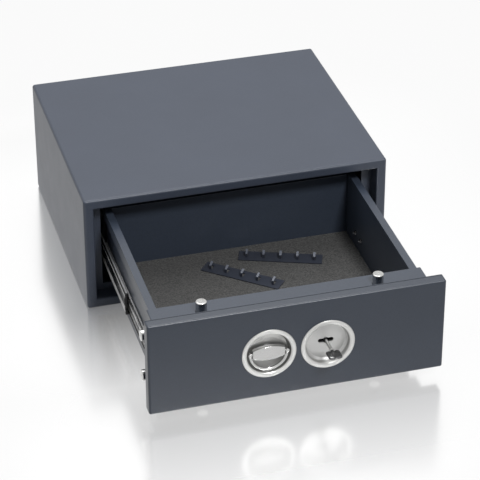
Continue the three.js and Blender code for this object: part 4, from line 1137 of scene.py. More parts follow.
class Finish(Enum):
    """The record's material slots, each with the finish that dresses its pieces."""

    CABINET_PAINT = PowderCoat("cabinet_paint", (0.04, 0.049, 0.07), ior=1.4)
    # The drawer front's paint is a darker copy of the cabinet paint: painted shade that offsets the
    # key lamp's stronger light on the front.
    FRONT_PAINT = PowderCoat(
        "cabinet_paint_front", (0.0177, 0.0252, 0.04), roughness=0.36, ior=1.5,
    )
    DRAWER_PAINT = PowderCoat(
        "drawer_paint", (0.032, 0.041, 0.059), roughness=0.36, peel_height=0.09,
    )
    # The strip paint turns lighter from Z 56.6 to 58.6 mm and above: a painted highlight on the
    # hook tops.
    STRIP_PAINT = PowderCoat(
        "strip_paint", (0.022, 0.026, 0.038), peel_height=0.05, rubbed=(56.6, 58.6),
    )
    CHROME = PlatedSteel(
        "chrome", (0.54, 0.54, 0.53), roughness=0.13, grain_height=0.006, dull=0.05,
    )
    ZINC_STEEL = PlatedSteel("zinc_steel", (0.50, 0.51, 0.52), roughness=0.3)
    OILED_STEEL = PlatedSteel("zinc_steel_oiled", (0.045, 0.045, 0.046), roughness=0.4)
    # The greys up each web: light bands are painted highlights, dark ones painted shade.
    OUTER_STEEL = RolledSteel("zinc_steel_outer", 21.5, 210.2, 216.1, (
        (0.0, 0.2), (0.1, 0.15), (0.16, 0.05), (0.9, 0.04), (1.0, 0.1),
    ))
    MIDDLE_STEEL = RolledSteel("zinc_steel_middle", 18.3, 207.2, 212.7, (
        (0.0, 0.8), (0.36, 0.72), (0.43, 0.05), (0.82, 0.035), (0.86, 0.75), (0.96, 0.75),
        (1.0, 0.1),
    ))
    INNER_STEEL = RolledSteel("zinc_steel_inner", 15.0, 203.6, 208.5, (
        (0.0, 0.04), (0.26, 0.035), (0.3, 0.78), (0.49, 0.78), (0.53, 0.035), (1.0, 0.04),
    ))
    # Each cup colour is darker than its rim colour: painted shade in the hollow of the cup.
    HANDLE_NICKEL = TurnedNickel(
        "satin_nickel", (0.55, 0.55, 0.54), (0.38, 0.38, 0.375), -FITTING_X,
    )
    LOCK_NICKEL = TurnedNickel(
        "satin_nickel_lock", (0.54, 0.54, 0.53), (0.44, 0.44, 0.435), FITTING_X,
    )
    GRIP_NICKEL = TurnedNickel(
        "satin_nickel_grip", (0.48, 0.48, 0.475), (0.46, 0.46, 0.455), -FITTING_X,
        roughness=0.2, cup_roughness=0.25,
    )
    KEY_STEEL = KeySteel("key_steel", (0.11, 0.11, 0.112), (0.56, 0.56, 0.55))
    CARPET_PILE = CarpetPile(
        "carpet_pile", (0.0119, 0.0118, 0.0115), (0.0695, 0.0692, 0.0675),
    )
    BLACK_PLASTIC = MouldedPlastic("black_plastic", (0.010, 0.010, 0.011))

    @property
    def slot(self) -> str:
        """The record's slot that this finish belongs to."""
        slots = ("cabinet_paint", "satin_nickel", "zinc_steel")
        return next((slot for slot in slots if self.value.name.startswith(slot)), self.value.name)

    @cache
    def material(self) -> bpy.types.Material:
        """The finish's material, built the first time that it is asked for."""
        return self.value.material()


def coat(piece: Piece, finish: Finish) -> None:
    """Gives a piece one material in place of what it has."""
    piece.data.materials.clear()
    piece.data.materials.append(finish.material())


def fit(piece: Piece, body: str, finish: Finish, *nodes: str) -> None:
    """Dresses a finished piece, fixes it to its body and lets it stand for CAD nodes.

    Args:
        piece: the finished object.
        body: the CAD body that it moves with.
        finish: its finish.
        nodes: the CAD nodes that it replaces.
    """
    coat(piece, finish)
    finish.slot
    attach(piece, body)
    if nodes:
        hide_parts(*nodes)
    log.info("%s: %d faces, on %s", piece.name, len(piece.data.polygons), body)


def dress_nodes(finish: Finish, *nodes: str) -> None:
    """Dresses carried-over CAD nodes, whose meshes stay as they are.

    Args:
        finish: their finish.
        nodes: the nodes' names.
    """
    for name in nodes:
        coat(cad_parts[name], finish)
        log.info("%s: CAD node dressed as %s", name, finish.slot)


def fit_refined(body: str, finish: Finish, edges: dict[str, tuple[float, int]]) -> None:
    """Refines CAD nodes and fits each in its node's place.

    Args:
        body: the body that they move with.
        finish: their finish.
        edges: for each node, the rounding of its edges in millimetres and its facets.
    """
    for node, (radius, steps) in edges.items():
        fit(refine(node, radius, steps), body, finish, node)


# Sub-assemblies


@dataclass
class Cabinet:
    """The steel body: a wrap with a turned-in face, a back plate and the strike frame."""

    half_width: float = 250.0
    half_depth: float = 203.5
    height: float = 200.0
    wall: float = 4.0
    bend: float = 4.4
    bend_steps: int = 6
    mouth_bend: float = 2.8
    mouth_steps: int = 5
    face: float = 16.5
    anchor_x: float = 150.0
    anchor_y: float = 60.0
    anchor_radius: float = 6.8
    anchor_drill: float = 10.0

    def build(self) -> None:
        """Builds and dresses the cabinet's pieces."""
        self.shell()
        fit_refined("cabinet", Finish.CABINET_PAINT, {
            "cabinet_back": (0.6, 2), "front_frame": (0.8, 3),
        })

    def shell(self) -> None:
        """The wrap: a cube opened at both ends, its face turned in and its bends rounded."""
        shell = add_block(
            "cabinet_wrap", (-self.half_width, -self.half_depth, 0),
            (self.half_width, self.half_depth, self.height),
        )
        open_faces(shell, lambda at, normal: normal.y > ALONG)
        with editing(shell):
            pick_faces(shell, lambda at, normal: normal.y < -ALONG)
            bpy.ops.mesh.inset(thickness=self.face * MM, use_even_offset=True)
            bpy.ops.mesh.delete(type="FACE")
        thicken(shell, self.wall)
        round_picked(shell, self.is_outer_bend, self.bend, self.bend_steps)
        round_picked(shell, self.is_mouth, self.mouth_bend, self.mouth_steps)
        cut_with(shell, *[
            add_rod(
                "anchor_drill", Axis.Z, (side.value * self.anchor_x, self.anchor_y, self.wall / 2),
                self.anchor_radius, self.anchor_drill,
            ) for side in Side
        ])
        fit(shade(shell), "cabinet", Finish.CABINET_PAINT, "cabinet_shell")

    def is_outer_bend(self, at: Vector, along: Vector) -> bool:
        """Whether an edge is an outer bend of the wrap.

        Args:
            at: the edge's middle, in millimetres.
            along: its direction.

        Returns:
            True if it is.
        """
        outer_x, outer_z = near(abs(at.x), self.half_width), near(at.z, 0, self.height)
        if abs(along.y) > ALONG:
            return outer_x and outer_z
        return near(at.y, -self.half_depth) and (outer_x or outer_z)

    def is_mouth(self, at: Vector, along: Vector) -> bool:
        """Whether an edge is the rounded mouth of the wrap's face.

        Args:
            at: the edge's middle, in millimetres.
            along: its direction.

        Returns:
            True if it is.
        """
        upright = abs(along.z) > ALONG and near(abs(at.x), self.half_width - self.face)
        level = abs(along.x) > ALONG and near(at.z, self.face, self.height - self.face)
        return near(at.y, -self.half_depth) and (upright or level)


@dataclass
class SlideMember:
    """One rolled C section of a ball slide: its web, its lips and its punched holes.

    The right-hand member has its web at X web, and its lips reach from there to X lip.
    """

    name: str
    web: float
    lip: float
    height: float
    start: float
    end: float
    sheet: float = 1.2
    fold: float = 1.32
    fold_steps: int = 4
    edge: float = 0.2
    step: float = 0.7
    step_share: float = 0.5
    step_slope: float = 1.5
    slot_pitch: float = 64.0
    slot_length: float = 12.0
    slot_width: float = 4.6
    slot_round: float = 0.98
    slot_margin: float = 60.0
    punch: float = 6.0

    def build(self) -> Piece:
        """Models the member on the right side of the safe.

        Returns:
            The finished mesh, not yet dressed.
        """
        low_x, high_x = sorted((self.web, self.lip))
        half = self.height / 2
        member = add_block(
            f"{self.name}_right_rail",
            (low_x, self.start, SLIDE_Z - half), (high_x, self.end, SLIDE_Z + half),
        )
        opening = 1 if self.lip > self.web else -1
        open_faces(
            member, lambda at, normal: normal.x * opening > ALONG or abs(normal.y) > ALONG,
        )
        self.roll_step(member, -opening)
        round_picked(member, self.is_fold, self.fold, self.fold_steps)
        thicken(member, self.sheet)
        cut_with(member, *self.slots())
        soften(member, self.edge, 1, 50)
        return shade(member)

    def is_fold(self, at: Vector, along: Vector) -> bool:
        """Whether an edge is a fold between the web and a lip."""
        at_fold = near(at.x, self.web) and near(abs(at.z - SLIDE_Z), self.height / 2)
        return abs(along.y) > ALONG and at_fold

    def roll_step(self, member: Piece, out: int) -> None:
        """Rolls the middle of the web out by a small step along its length.

        Args:
            member: the folded surface.
            out: 1 if the web's outside faces right, -1 if left.
        """
        flat = self.height / 2 * self.step_share
        with editing(member):
            for way in (-1, 1):
                for height in (flat, flat + self.step_slope * abs(self.step)):
                    bpy.ops.mesh.select_all(action="SELECT")
                    bpy.ops.mesh.bisect(
                        plane_co=(0, 0, (SLIDE_Z + way * height) * MM), plane_no=(0, 0, 1),
                    )
            pick_faces(member, lambda at, normal: abs(at.z - SLIDE_Z) < flat)
            bpy.ops.transform.translate(value=(out * self.step * MM, 0, 0))

    def slots(self) -> list[Piece]:
        """The punched slots along the web.

        Returns:
            The cutters.
        """
        count = int((self.end - self.start - self.slot_margin) // self.slot_pitch)
        first = (self.start + self.end) / 2 - (count - 1) * self.slot_pitch / 2
        run, half = self.slot_length / 2, self.slot_width / 2
        cutters = []
        for i in range(count):
            middle = (first + i * self.slot_pitch, SLIDE_Z)
            line = rounded_slot(middle, (run, half), half * self.slot_round)
            corners = [(self.web - self.punch / 2, a, b) for a, b in line]
            cutters.append(add_outline("slot_punch", corners, (self.punch, 0, 0)))
        return cutters


@dataclass
class BallCage:
    """A ball cage: a thin C strip with its balls in two rows, placed as a member is."""

    name: str
    web: float
    lip: float
    half_height: float
    start: float
    end: float
    balls: int = 8
    sheet: float = 0.6
    fold: float = 0.7
    fold_steps: int = 3
    ball_radius: float = 0.85
    ball_sides: int = 14
    ball_shift: float = 0.2
    ball_rise: float = 0.3

    def build(self) -> Piece:
        """Models the cage on the right side of the safe.

        Returns:
            The mesh, not yet dressed.
        """
        strip = add_block(
            f"ball_{self.name}_right_set", (self.lip, self.start, SLIDE_Z - self.half_height),
            (self.web, self.end, SLIDE_Z + self.half_height),
        )
        open_faces(strip, lambda at, normal: normal.x < -ALONG or abs(normal.y) > ALONG)
        round_picked(
            strip, lambda at, along: abs(along.y) > ALONG and near(at.x, self.web),
            self.fold, self.fold_steps,
        )
        thicken(strip, self.sheet)
        shade(strip)
        ball = shade(add_ball(
            "ball", ((self.web + self.lip) / 2 + self.ball_shift, self.start, SLIDE_Z),
            self.ball_radius, self.ball_sides,
        ))
        pitch, rise = (self.end - self.start) / self.balls, self.half_height - self.ball_rise
        copies = [
            copy_piece(ball, "ball", (0, (i + 0.5) * pitch, way * rise))
            for i in range(self.balls) for way in (-1, 1)
        ]
        bpy.data.objects.remove(ball)
        gather(strip, copies)
        return strip


@dataclass
class SlideScrew:
    """A pan-head screw with a cross recess, lying along X, its head inside the drawer."""

    face: float = 197.6
    end: float = 203.9
    shank_radius: float = 2.0
    head_radius: float = 3.6
    head_height: float = 2.0
    head_edge: float = 0.9
    crown_radius: float = 1.7
    crown_length: float = 3.4
    crown_middle: float = 2.4
    cross_half_length: float = 1.9
    cross_half_width: float = 0.4
    cross_floor: float = 3.1
    cross_end: float = 5.0

    def build(self) -> Piece:
        """Models the screw on the right side of the safe, at Y zero.

        Returns:
            The mesh, not yet dressed.
        """
        face, top = self.face, self.face - self.head_height
        shank = add_rod(
            "screw", Axis.X, ((face + self.end) / 2, 0, SLIDE_Z),
            self.shank_radius, self.end - face, 20,
        )
        head = add_rod(
            "screw_head", Axis.X, (face - self.head_height / 2, 0, SLIDE_Z),
            self.head_radius, self.head_height, 32,
        )
        round_picked(
            head, lambda at, along: near(at.x, top) and abs(along.x) < ACROSS, self.head_edge, 4,
        )
        crown = add_rod(
            "screw_tip", Axis.X, (face - self.crown_middle, 0, SLIDE_Z),
            self.crown_radius, self.crown_length, 24,
        )
        fuse(head, shank, crown)
        long, wide = self.cross_half_length, self.cross_half_width
        for half_y, half_z in ((long, wide), (wide, long)):
            cut_with(head, add_block(
                "cross_recess", (face - self.cross_end, -half_y, SLIDE_Z - half_z),
                (face - self.cross_floor, half_y, SLIDE_Z + half_z),
            ))
        return shade(head)


@dataclass
class BallSlides:
    """The pair of ball slides: brackets, members, cages with their balls, and end stops."""

    screw_places: tuple[float, ...] = (110.0, 136.6, 300.6, 327.3)
    bracket_edge: float = 0.4
    stop_edge: float = 0.35
    stop_lip_x: float = 209.0
    stop_throat: float = 15.5
    stop_window: float = 11.0
    stop_end: float = 1.2

    def build(self) -> None:
        """Builds and dresses both slides."""
        outer = SlideMember("slide_outer", 216.1, 210.2, 43.0, -133.0, 194.0, step=0.2)
        middle = SlideMember("slide_middle", 212.7, 207.2, 36.6, -313.6, 1.4)
        inner = SlideMember("slide_inner", 203.6, 208.5, 30.0, -468.5, -153.5, step=-0.7)
        self.fit_pair(outer.build(), outer.name, "cabinet", Finish.OUTER_STEEL)
        self.fit_pair(middle.build(), middle.name, "middle_{side}", Finish.MIDDLE_STEEL)
        self.fit_pair(
            self.with_screws(inner.build()), inner.name, "drawer", Finish.INNER_STEEL,
        )
        for cage in (
            BallCage("cage_inner", 211.0, 207.2, 16.3, -278.53, -188.58),
            BallCage("cage_outer", 214.6, 210.5, 19.3, -110.83, -20.88),
        ):
            self.fit_pair(
                cage.build(), f"ball_{cage.name}", f"{cage.name}_{{side}}", Finish.ZINC_STEEL,
            )
        fit_refined("cabinet", Finish.ZINC_STEEL, {
            f"slide_bracket_{side.word}": (self.bracket_edge, 2) for side in Side
        })
        self.fit_pair(self.bumper(), "slide_bumper", "middle_{side}", Finish.BLACK_PLASTIC)

    def fit_pair(self, right: Piece, node: str, body: str, finish: Finish) -> None:
        """Mirrors a right-hand piece, and fits both.

        Args:
            right: the right-hand mesh.
            node: the name of the CAD nodes that the pair stands for, without their side.
            body: the body that each moves with, with {side} where its side goes.
            finish: the finish of both.
        """
        left = shade(mirror_copy(right, right.name.replace("right", "left")))
        for side, piece in ((Side.RIGHT, right), (Side.LEFT, left)):
            fit(piece, body.format(side=side.word), finish, f"{node}_{side.word}")

    def with_screws(self, member: Piece) -> Piece:
        """Sets the four screws of the drawer member, heads inside the drawer.

        Args:
            member: the drawer member on the right.

        Returns:
            The member with its screws.
        """
        screw = SlideScrew().build()
        places = [(0, depth(place), 0) for place in self.screw_places]
        screws = [copy_piece(screw, "slide_screw", place) for place in places]
        bpy.data.objects.remove(screw)
        gather(member, screws)
        return member

    def bumper(self) -> Piece:
        """The black stop on the front end of the right middle member.

        Returns:
            The mesh, not yet dressed.
        """
        low, high = (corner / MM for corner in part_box("slide_bumper_right"))
        stop = add_block("slide_bumper_right_clip", tuple(low), tuple(high))
        cut_with(stop, add_block(
            "stop_throat", (low.x - OVERRUN, low.y - OVERRUN, SLIDE_Z - self.stop_throat),
            (self.stop_lip_x, high.y + OVERRUN, SLIDE_Z + self.stop_throat),
        ), add_block(
            "stop_window", (low.x - OVERRUN, low.y - OVERRUN, SLIDE_Z - self.stop_window),
            (high.x + OVERRUN, high.y - self.stop_end, SLIDE_Z + self.stop_window),
        ))
        soften(stop, self.stop_edge, 3)
        return shade(stop)


@dataclass
class DrawerFront:
    """The folded front with its backing, hard plate and lock case."""

    half_width: float = 230.0
    bottom: float = 22.3
    top: float = 179.3
    thickness: float = 18.0
    sheet: float = 2.5
    fold: float = 3.4
    fold_steps: int = 5
    edge: float = 0.3
    seam: float = 1.1
    seam_depth: float = 0.9
    hole_radius: float = 36.3
    punch: float = 10.0
    punch_middle: float = 1.0

    def build(self) -> None:
        """Builds and dresses the front."""
        self.cover()
        fit_refined("drawer", Finish.FRONT_PAINT, {"front_backing": (0.4, 2)})
        fit_refined("drawer", Finish.DRAWER_PAINT, {"lock_case": (0.7, 3), "lock_cover": (0.4, 2)})
        dress_nodes(Finish.ZINC_STEEL, "hard_plate")

    def cover(self) -> None:
        """The front's folded tray: a cube without its back, rounded, with two round holes."""
        half, top, seam = self.half_width, self.top, self.thickness - self.seam
        cover = add_block(
            "front_tray", (-half, depth(0), self.bottom), (half, depth(self.thickness), top),
        )
        open_faces(cover, lambda at, normal: normal.y > ALONG)
        thicken(cover, self.sheet)
        round_picked(cover, self.is_outer_edge, self.fold, self.fold_steps)
        cut_with(cover, *[
            add_rod(
                "cup_punch", Axis.Y, (side.value * FITTING_X, depth(self.punch_middle), FITTING_Z),
                self.hole_radius, self.punch, 96,
            ) for side in Side
        ], add_block(
            "seam_cut", (-half - OVERRUN, depth(seam - self.seam), top - self.seam_depth),
            (half + OVERRUN, depth(seam), top + OVERRUN),
        ))
        soften(cover, self.edge, 2, 50)
        fit(shade(cover), "drawer", Finish.FRONT_PAINT, "front_cover")

    def is_outer_edge(self, at: Vector, along: Vector) -> bool:
        """Whether an edge is an outer fold of the tray.

        Args:
            at: the edge's middle, in millimetres.
            along: its direction.

        Returns:
            True if it is.
        """
        outer_x, outer_z = near(abs(at.x), self.half_width), near(at.z, self.bottom, self.top)
        if abs(along.y) > ALONG:
            return outer_x and outer_z
        return near(at.y, depth(0)) and (outer_x or outer_z)


@dataclass
class DrawerBox:
    """The drawer box behind the front, with its carpet."""

    edge: float = 0.9
    floor_edge: float = 0.4
    carpet_low: Point = (-197.2, -469.3, 47.2)
    carpet_high: Point = (197.2, -163.7, 49.5)
    cut_edge: float = 0.5
    pile: float = 0.45
    pile_cuts: tuple[int, int] = (99, 1)
    pile_strength: float = 1.1
    pile_level: float = 0.2
    tuft: float = 2.4

    def build(self) -> None:
        """Builds and dresses the drawer box."""
        fit_refined("drawer", Finish.DRAWER_PAINT, {
            "drawer_side_left": (self.edge, 3), "drawer_side_right": (self.edge, 3),
            "drawer_back": (self.edge, 3), "drawer_floor": (self.floor_edge, 2),
        })
        self.carpet()

    def carpet(self) -> None:
        """The carpet: a cut sheet of felt with an uneven pile."""
        low, high = Vector(self.carpet_low), Vector(self.carpet_high)
        carpet = add_block("carpet_sheet", tuple(low), tuple(high - Vector((0, 0, self.pile))))
        with editing(carpet):
            pick_faces(carpet, lambda at, normal: normal.z > ALONG)
            for cuts in self.pile_cuts:
                bpy.ops.mesh.subdivide(number_cuts=cuts)
        cloud = bpy.data.textures.new("pile_height", "CLOUDS")
        cloud.noise_scale = self.tuft * MM
        cloud.noise_depth = 1
        top = carpet.vertex_groups.new(name="pile")
        top.add([
            corner.index for corner in carpet.data.vertices
            if near(corner.co.z / MM, high.z - self.pile)
            and abs(corner.co.x / MM) < high.x - self.cut_edge
            and low.y + self.cut_edge < corner.co.y / MM < high.y - self.cut_edge
        ], 1.0, "REPLACE")
        modify(
            carpet, "DISPLACE", texture=cloud, texture_coords="LOCAL", direction="Z",
            mid_level=self.pile_level, strength=self.pile * MM * self.pile_strength,
            vertex_group=top.name,
        )
        fit(shade(carpet, 60), "drawer", Finish.CARPET_PILE, "carpet")


@dataclass
class Rosette:
    """A spun metal rosette: a flat rim, a lip and a cup.

    Each line runs on from the one before it. Its corners give a radius, a depth and a fillet:
    edge_line from the rim's radius, lip_line from the lip's, wall_line and back_line from the
    lip's and the cup's floor, and floor_line from the axis and the cup's floor.
    """

    x: float
    cup_depth: float
    wall_line: tuple[Corner, ...]
    floor_line: tuple[Corner, ...]
    back_line: tuple[Corner, ...]
    z: float = FITTING_Z
    rim: float = 42.2
    lip: float = 34.4
    seat: float = -0.2
    seat_step: float = 1.5
    edge_line: tuple[Corner, ...] = ((-0.2, -1.0, 0.3), (-1.4, -1.75, 0.3))
    lip_line: tuple[Corner, ...] = ((2.3, -1.75, 0.3), (1.1, -1.3, 0.3), (0.0, -0.4, 0.25))

    def spin_cup(self, name: str) -> Piece:
        """Spins the rosette's profile.

        Args:
            name: the piece's name.

        Returns:
            The mesh, not yet shaded.
        """
        line = rounded([
            (self.rim, self.seat, 0.0), *moved(self.edge_line, self.rim, 0),
            *moved(self.lip_line, self.lip, 0), *moved(self.wall_line, self.lip, self.cup_depth),
            *moved(self.floor_line, 0, self.cup_depth),
            *moved(self.back_line, self.lip, self.cup_depth),
            (self.lip + self.seat_step, self.seat, 0.0),
        ])
        return spin_profile(name, line + [(self.rim, self.seat)], (self.x, self.z))


@dataclass
class TurningHandle(Rosette):
    """The recessed handle: its rosette, its lens-shaped vane and the folding half-ring bail."""

    x: float = -FITTING_X
    cup_depth: float = 11.4
    wall_line: tuple[Corner, ...] = ((-0.3, -7.0, 4.0), (-3.6, -2.2, 4.0), (-12.4, -0.2, 3.0))
    floor_line: tuple[Corner, ...] = (
        (7.5, 0.0, 0.2), (7.5, 1.5, 0.0), (22.0, 1.3, 0.0), (31.5, -0.4, 0.0),
    )
    back_line: tuple[Corner, ...] = ((1.2, -5.9, 0.0),)
    mark_angles: tuple[float, ...] = (89.0, 118.0)
    mark_half_width: float = 0.8
    mark_start: float = 2.2
    mark_end: float = 5.0
    mark_floor: float = -0.6
    vane_half_length: float = 25.0
    vane_half_height: float = 11.5
    vane_end_half_height: float = 6.5
    vane_front: float = -0.3
    vane_thickness: float = 7.3
    vane_edge: float = 0.7
    vane_steps: int = 16
    boss_radius: float = 8.2
    boss_start: float = 3.7
    boss_clearance: float = 0.5
    neck_radius: float = 7.0
    neck_end: float = 19.0
    socket_half: float = 3.95
    bail_radius: float = 28.8
    bail_wire: float = 2.7
    bail_depth: float = 2.6
    block_radius: float = 3.2
    block_length: float = 6.2
    block_edge: float = 1.0
    pin_radius: float = 1.5
    pin_length: float = 7.2

    def build(self) -> None:
        """Builds and dresses the handle."""
        self.rosette()
        self.vane()
        self.bail()
        dress_nodes(Finish.ZINC_STEEL, "spindle_bush", "handle_spindle", "spindle_clip")

    def rosette(self) -> None:
        """The spun cup with its flat rim and two small marks on the rim's top."""
        rosette = self.spin_cup("handle_rosette_cup")
        for angle in self.mark_angles:
            mark = add_block(
                "rim_mark", (-self.mark_half_width, depth(-2), self.lip + self.mark_start),
                (self.mark_half_width, depth(self.mark_floor), self.lip + self.mark_end),
            )
            turn = Matrix.Rotation(math.radians(90 - angle), 4, "Y")
            mark.data.transform(Matrix.Translation(Vector((self.x, 0, self.z)) * MM) @ turn)
            cut_with(rosette, mark)
        fit(shade(rosette, 40), "drawer", Finish.HANDLE_NICKEL, "handle_rosette")

    def vane_line(self) -> Profile:
        """The lens outline of the vane: two arcs, one the other turned by half a turn.

        Returns:
            The outline's X and Z.
        """
        sag = self.vane_half_height - self.vane_end_half_height
        radius = (self.vane_half_length**2 + sag**2) / (2 * sag)
        swing = math.asin(self.vane_half_length / radius)
        line: Profile = []
        for way in (1, -1):
            for i in range(self.vane_steps + 1):
                angle = swing * (1 - 2 * i / self.vane_steps)
                across = way * radius * math.sin(angle)
                rise = way * (radius * math.cos(angle) - radius + self.vane_half_height)
                line.append((self.x + across, self.z + rise))
        return line

    def vane(self) -> None:
        """The vane on its boss, with rounded edges."""
        front, back = depth(self.vane_front), depth(self.vane_front + self.vane_thickness)
        vane = add_outline(
            "handle_vane_grip", [(a, front, b) for a, b in self.vane_line()],
            (0, self.vane_thickness, 0),
        )
        soften(vane, self.vane_edge, 3, 25)
        start, step = self.boss_start, self.cup_depth - self.boss_clearance
        boss = spin_profile("vane_boss", [
            (0, start), (self.boss_radius, start), (self.boss_radius, step),
            (self.neck_radius, step), (self.neck_radius, self.neck_end), (0, self.neck_end),
        ], (self.x, self.z), 48)
        fuse(vane, boss)
        half = self.socket_half
        cut_with(vane, add_block(
            "spindle_socket", (self.x - half, back, self.z - half),
            (self.x + half, depth(self.neck_end + OVERRUN), self.z + half),
        ))
        fit(shade(vane, 38), "handle", Finish.GRIP_NICKEL, "handle_vane")

    def bail(self) -> None:
        """The half ring with its two round end blocks and their pins."""
        deselect_all()
        centre = Vector((self.x, depth(self.bail_depth), self.z)) * MM
        bpy.ops.mesh.primitive_torus_add(
            location=centre, rotation=(math.pi / 2, 0, 0), major_segments=96, minor_segments=20,
            major_radius=self.bail_radius * MM, minor_radius=self.bail_wire * MM,
        )
        ring = settle(bpy.context.active_object, "bail_ring")
        with editing(ring):
            bpy.ops.mesh.select_all(action="SELECT")
            bpy.ops.mesh.bisect(
                plane_co=centre, plane_no=(0, 0, 1), use_fill=True, clear_outer=True,
            )
        for side in Side:
            block_at, pin_at = (
                (self.x + side.value * radius, depth(self.bail_depth), self.z)
                for radius in (self.bail_radius, self.bail_radius - self.pin_length / 2)
            )
            block = add_rod(
                "bail_block", Axis.Y, block_at, self.block_radius, self.block_length, 32,
            )
            soften(block, self.block_edge, 4)
            pin = add_rod("bail_pin", Axis.X, pin_at, self.pin_radius, self.pin_length, 20)
            fuse(ring, block, pin)
        fit(shade(ring, 40), "bail", Finish.GRIP_NICKEL, "bail")


@dataclass
class KeyLock(Rosette):
    """The lock's rosette with its keyhole, and the double-bitted key in it.

    Depths of the key are behind the drawer front, so those of its bow are below zero. The
    corners of bow_neck stand to both sides of the shaft, from the bow's inner end, and those
    of bow_lobes are its outer end.
    """

    x: float = FITTING_X
    cup_depth: float = 10.8
    wall_line: tuple[Corner, ...] = ((-0.4, -3.4, 1.5), (-3.4, 0.0, 2.2))
    floor_line: tuple[Corner, ...] = ((0.0, 0.0, 0.0), (0.0, 1.5, 0.0))
    back_line: tuple[Corner, ...] = ((-3.0, 1.5, 1.5), (0.9, -1.5, 2.0))
    keyhole_half: tuple[float, float] = (12.2, 3.5)
    keyhole_round: float = 0.97
    bore: float = 5.0
    punch: float = 4.0
    bow_inner: float = -20.0
    bow_outer: float = -40.4
    bow_neck: tuple[Corner, ...] = ((3.0, -1.8, 1.2), (5.6, 0.0, 3.0), (10.8, -1.6, 5.0))
    bow_lobes: tuple[Corner, ...] = (
        (-10.2, 0.4, 4.2), (-1.6, 0.0, 1.6), (1.0, 2.2, 1.6), (3.6, 0.0, 2.4), (10.8, 0.4, 6.0),
    )
    bow_half_sheet: float = 1.3
    bow_edge: float = 0.55
    ring_hole: tuple[float, float] = (-4.4, 4.6)
    ring_hole_radius: float = 3.0
    shaft_line: tuple[tuple[float, float], ...] = (
        (0.0, -29.0), (1.3, -28.6), (2.1, -27.4), (2.5, -25.6), (2.5, 33.8), (1.6, 35.0),
        (0.0, 35.0),
    )
    collar_line: tuple[Corner, ...] = (
        (0.0, -19.6, 0.0), (2.6, -19.6, 0.3), (3.3, -18.6, 0.6), (3.3, -17.0, 0.6),
        (2.6, -16.0, 0.3), (0.0, -16.0, 0.0),
    )
    bits: tuple[float, ...] = (1.0, 0.8, 0.95, 0.7, 0.9, 0.75)
    bit_reach: float = 10.2
    bit_start: float = 22.0
    bit_step: float = 2.0
    bit_overlap: float = 0.01
    bit_half_sheet: float = 1.5

    def build(self) -> None:
        """Builds and dresses the lock."""
        self.rosette()
        self.key()
        dress_nodes(Finish.ZINC_STEEL, "lock_body", "lock_bolt")
        dress_nodes(Finish.OILED_STEEL, "lock_rotor")

    def rosette(self) -> None:
        """The spun cup with a flat floor and a bright fillet, and the keyhole in its floor."""
        rosette = self.spin_cup("lock_rosette_cup")
        radius = self.keyhole_half[1] * self.keyhole_round
        slot = rounded_slot((self.x, self.z), self.keyhole_half, radius, steps=8)
        start = depth(self.cup_depth - OVERRUN)
        bore_at = (self.x, start + self.punch / 2, self.z)
        punch = add_outline("keyhole_punch", [(a, start, b) for a, b in slot], (0, self.punch, 0))
        fuse(punch, add_rod("bore_punch", Axis.Y, bore_at, self.bore, self.punch, 40))
        cut_with(rosette, punch)
        fit(shade(rosette, 40), "drawer", Finish.LOCK_NICKEL, "lock_rosette")

    def key(self) -> None:
        """The key: a lobed bow with a ring hole, a shaft that runs onto it, and stepped bits."""
        inner_end, outer_end = depth(self.bow_inner), depth(self.bow_outer)
        line = rounded([
            *((self.x - run, inner_end + rise, radius) for run, rise, radius in self.bow_neck),
            *moved(self.bow_lobes, self.x, outer_end),
            *moved(self.bow_neck[::-1], self.x, inner_end),
        ], steps=7)
        key = add_outline(
            "key_blank", [(a, b, self.z - self.bow_half_sheet) for a, b in line],
            (0, 0, 2 * self.bow_half_sheet),
        )
        across, along = self.ring_hole
        hole = (self.x + across, outer_end + along, self.z)
        cut_with(key, add_rod("ring_hole", Axis.Z, hole, self.ring_hole_radius, 8, 40))
        soften(key, self.bow_edge, 3, 40)
        collar_line = rounded(self.collar_line, closed=False)
        fuse(key, *[
            spin_profile(name, profile, (self.x, self.z), 40)
            for name, profile in (("key_shaft", self.shaft_line), ("key_collar", collar_line))
        ])
        for i, share in enumerate(self.bits):
            reach, start = self.bit_reach * share, self.bit_start + i * self.bit_step
            fuse(key, add_block(
                "key_bit", (self.x - reach, depth(start), self.z - self.bit_half_sheet), (
                    self.x + reach, depth(start + self.bit_step + self.bit_overlap),
                    self.z + self.bit_half_sheet,
                ),
            ))
        fit(shade(key, 40), "key", Finish.KEY_STEEL, "key")


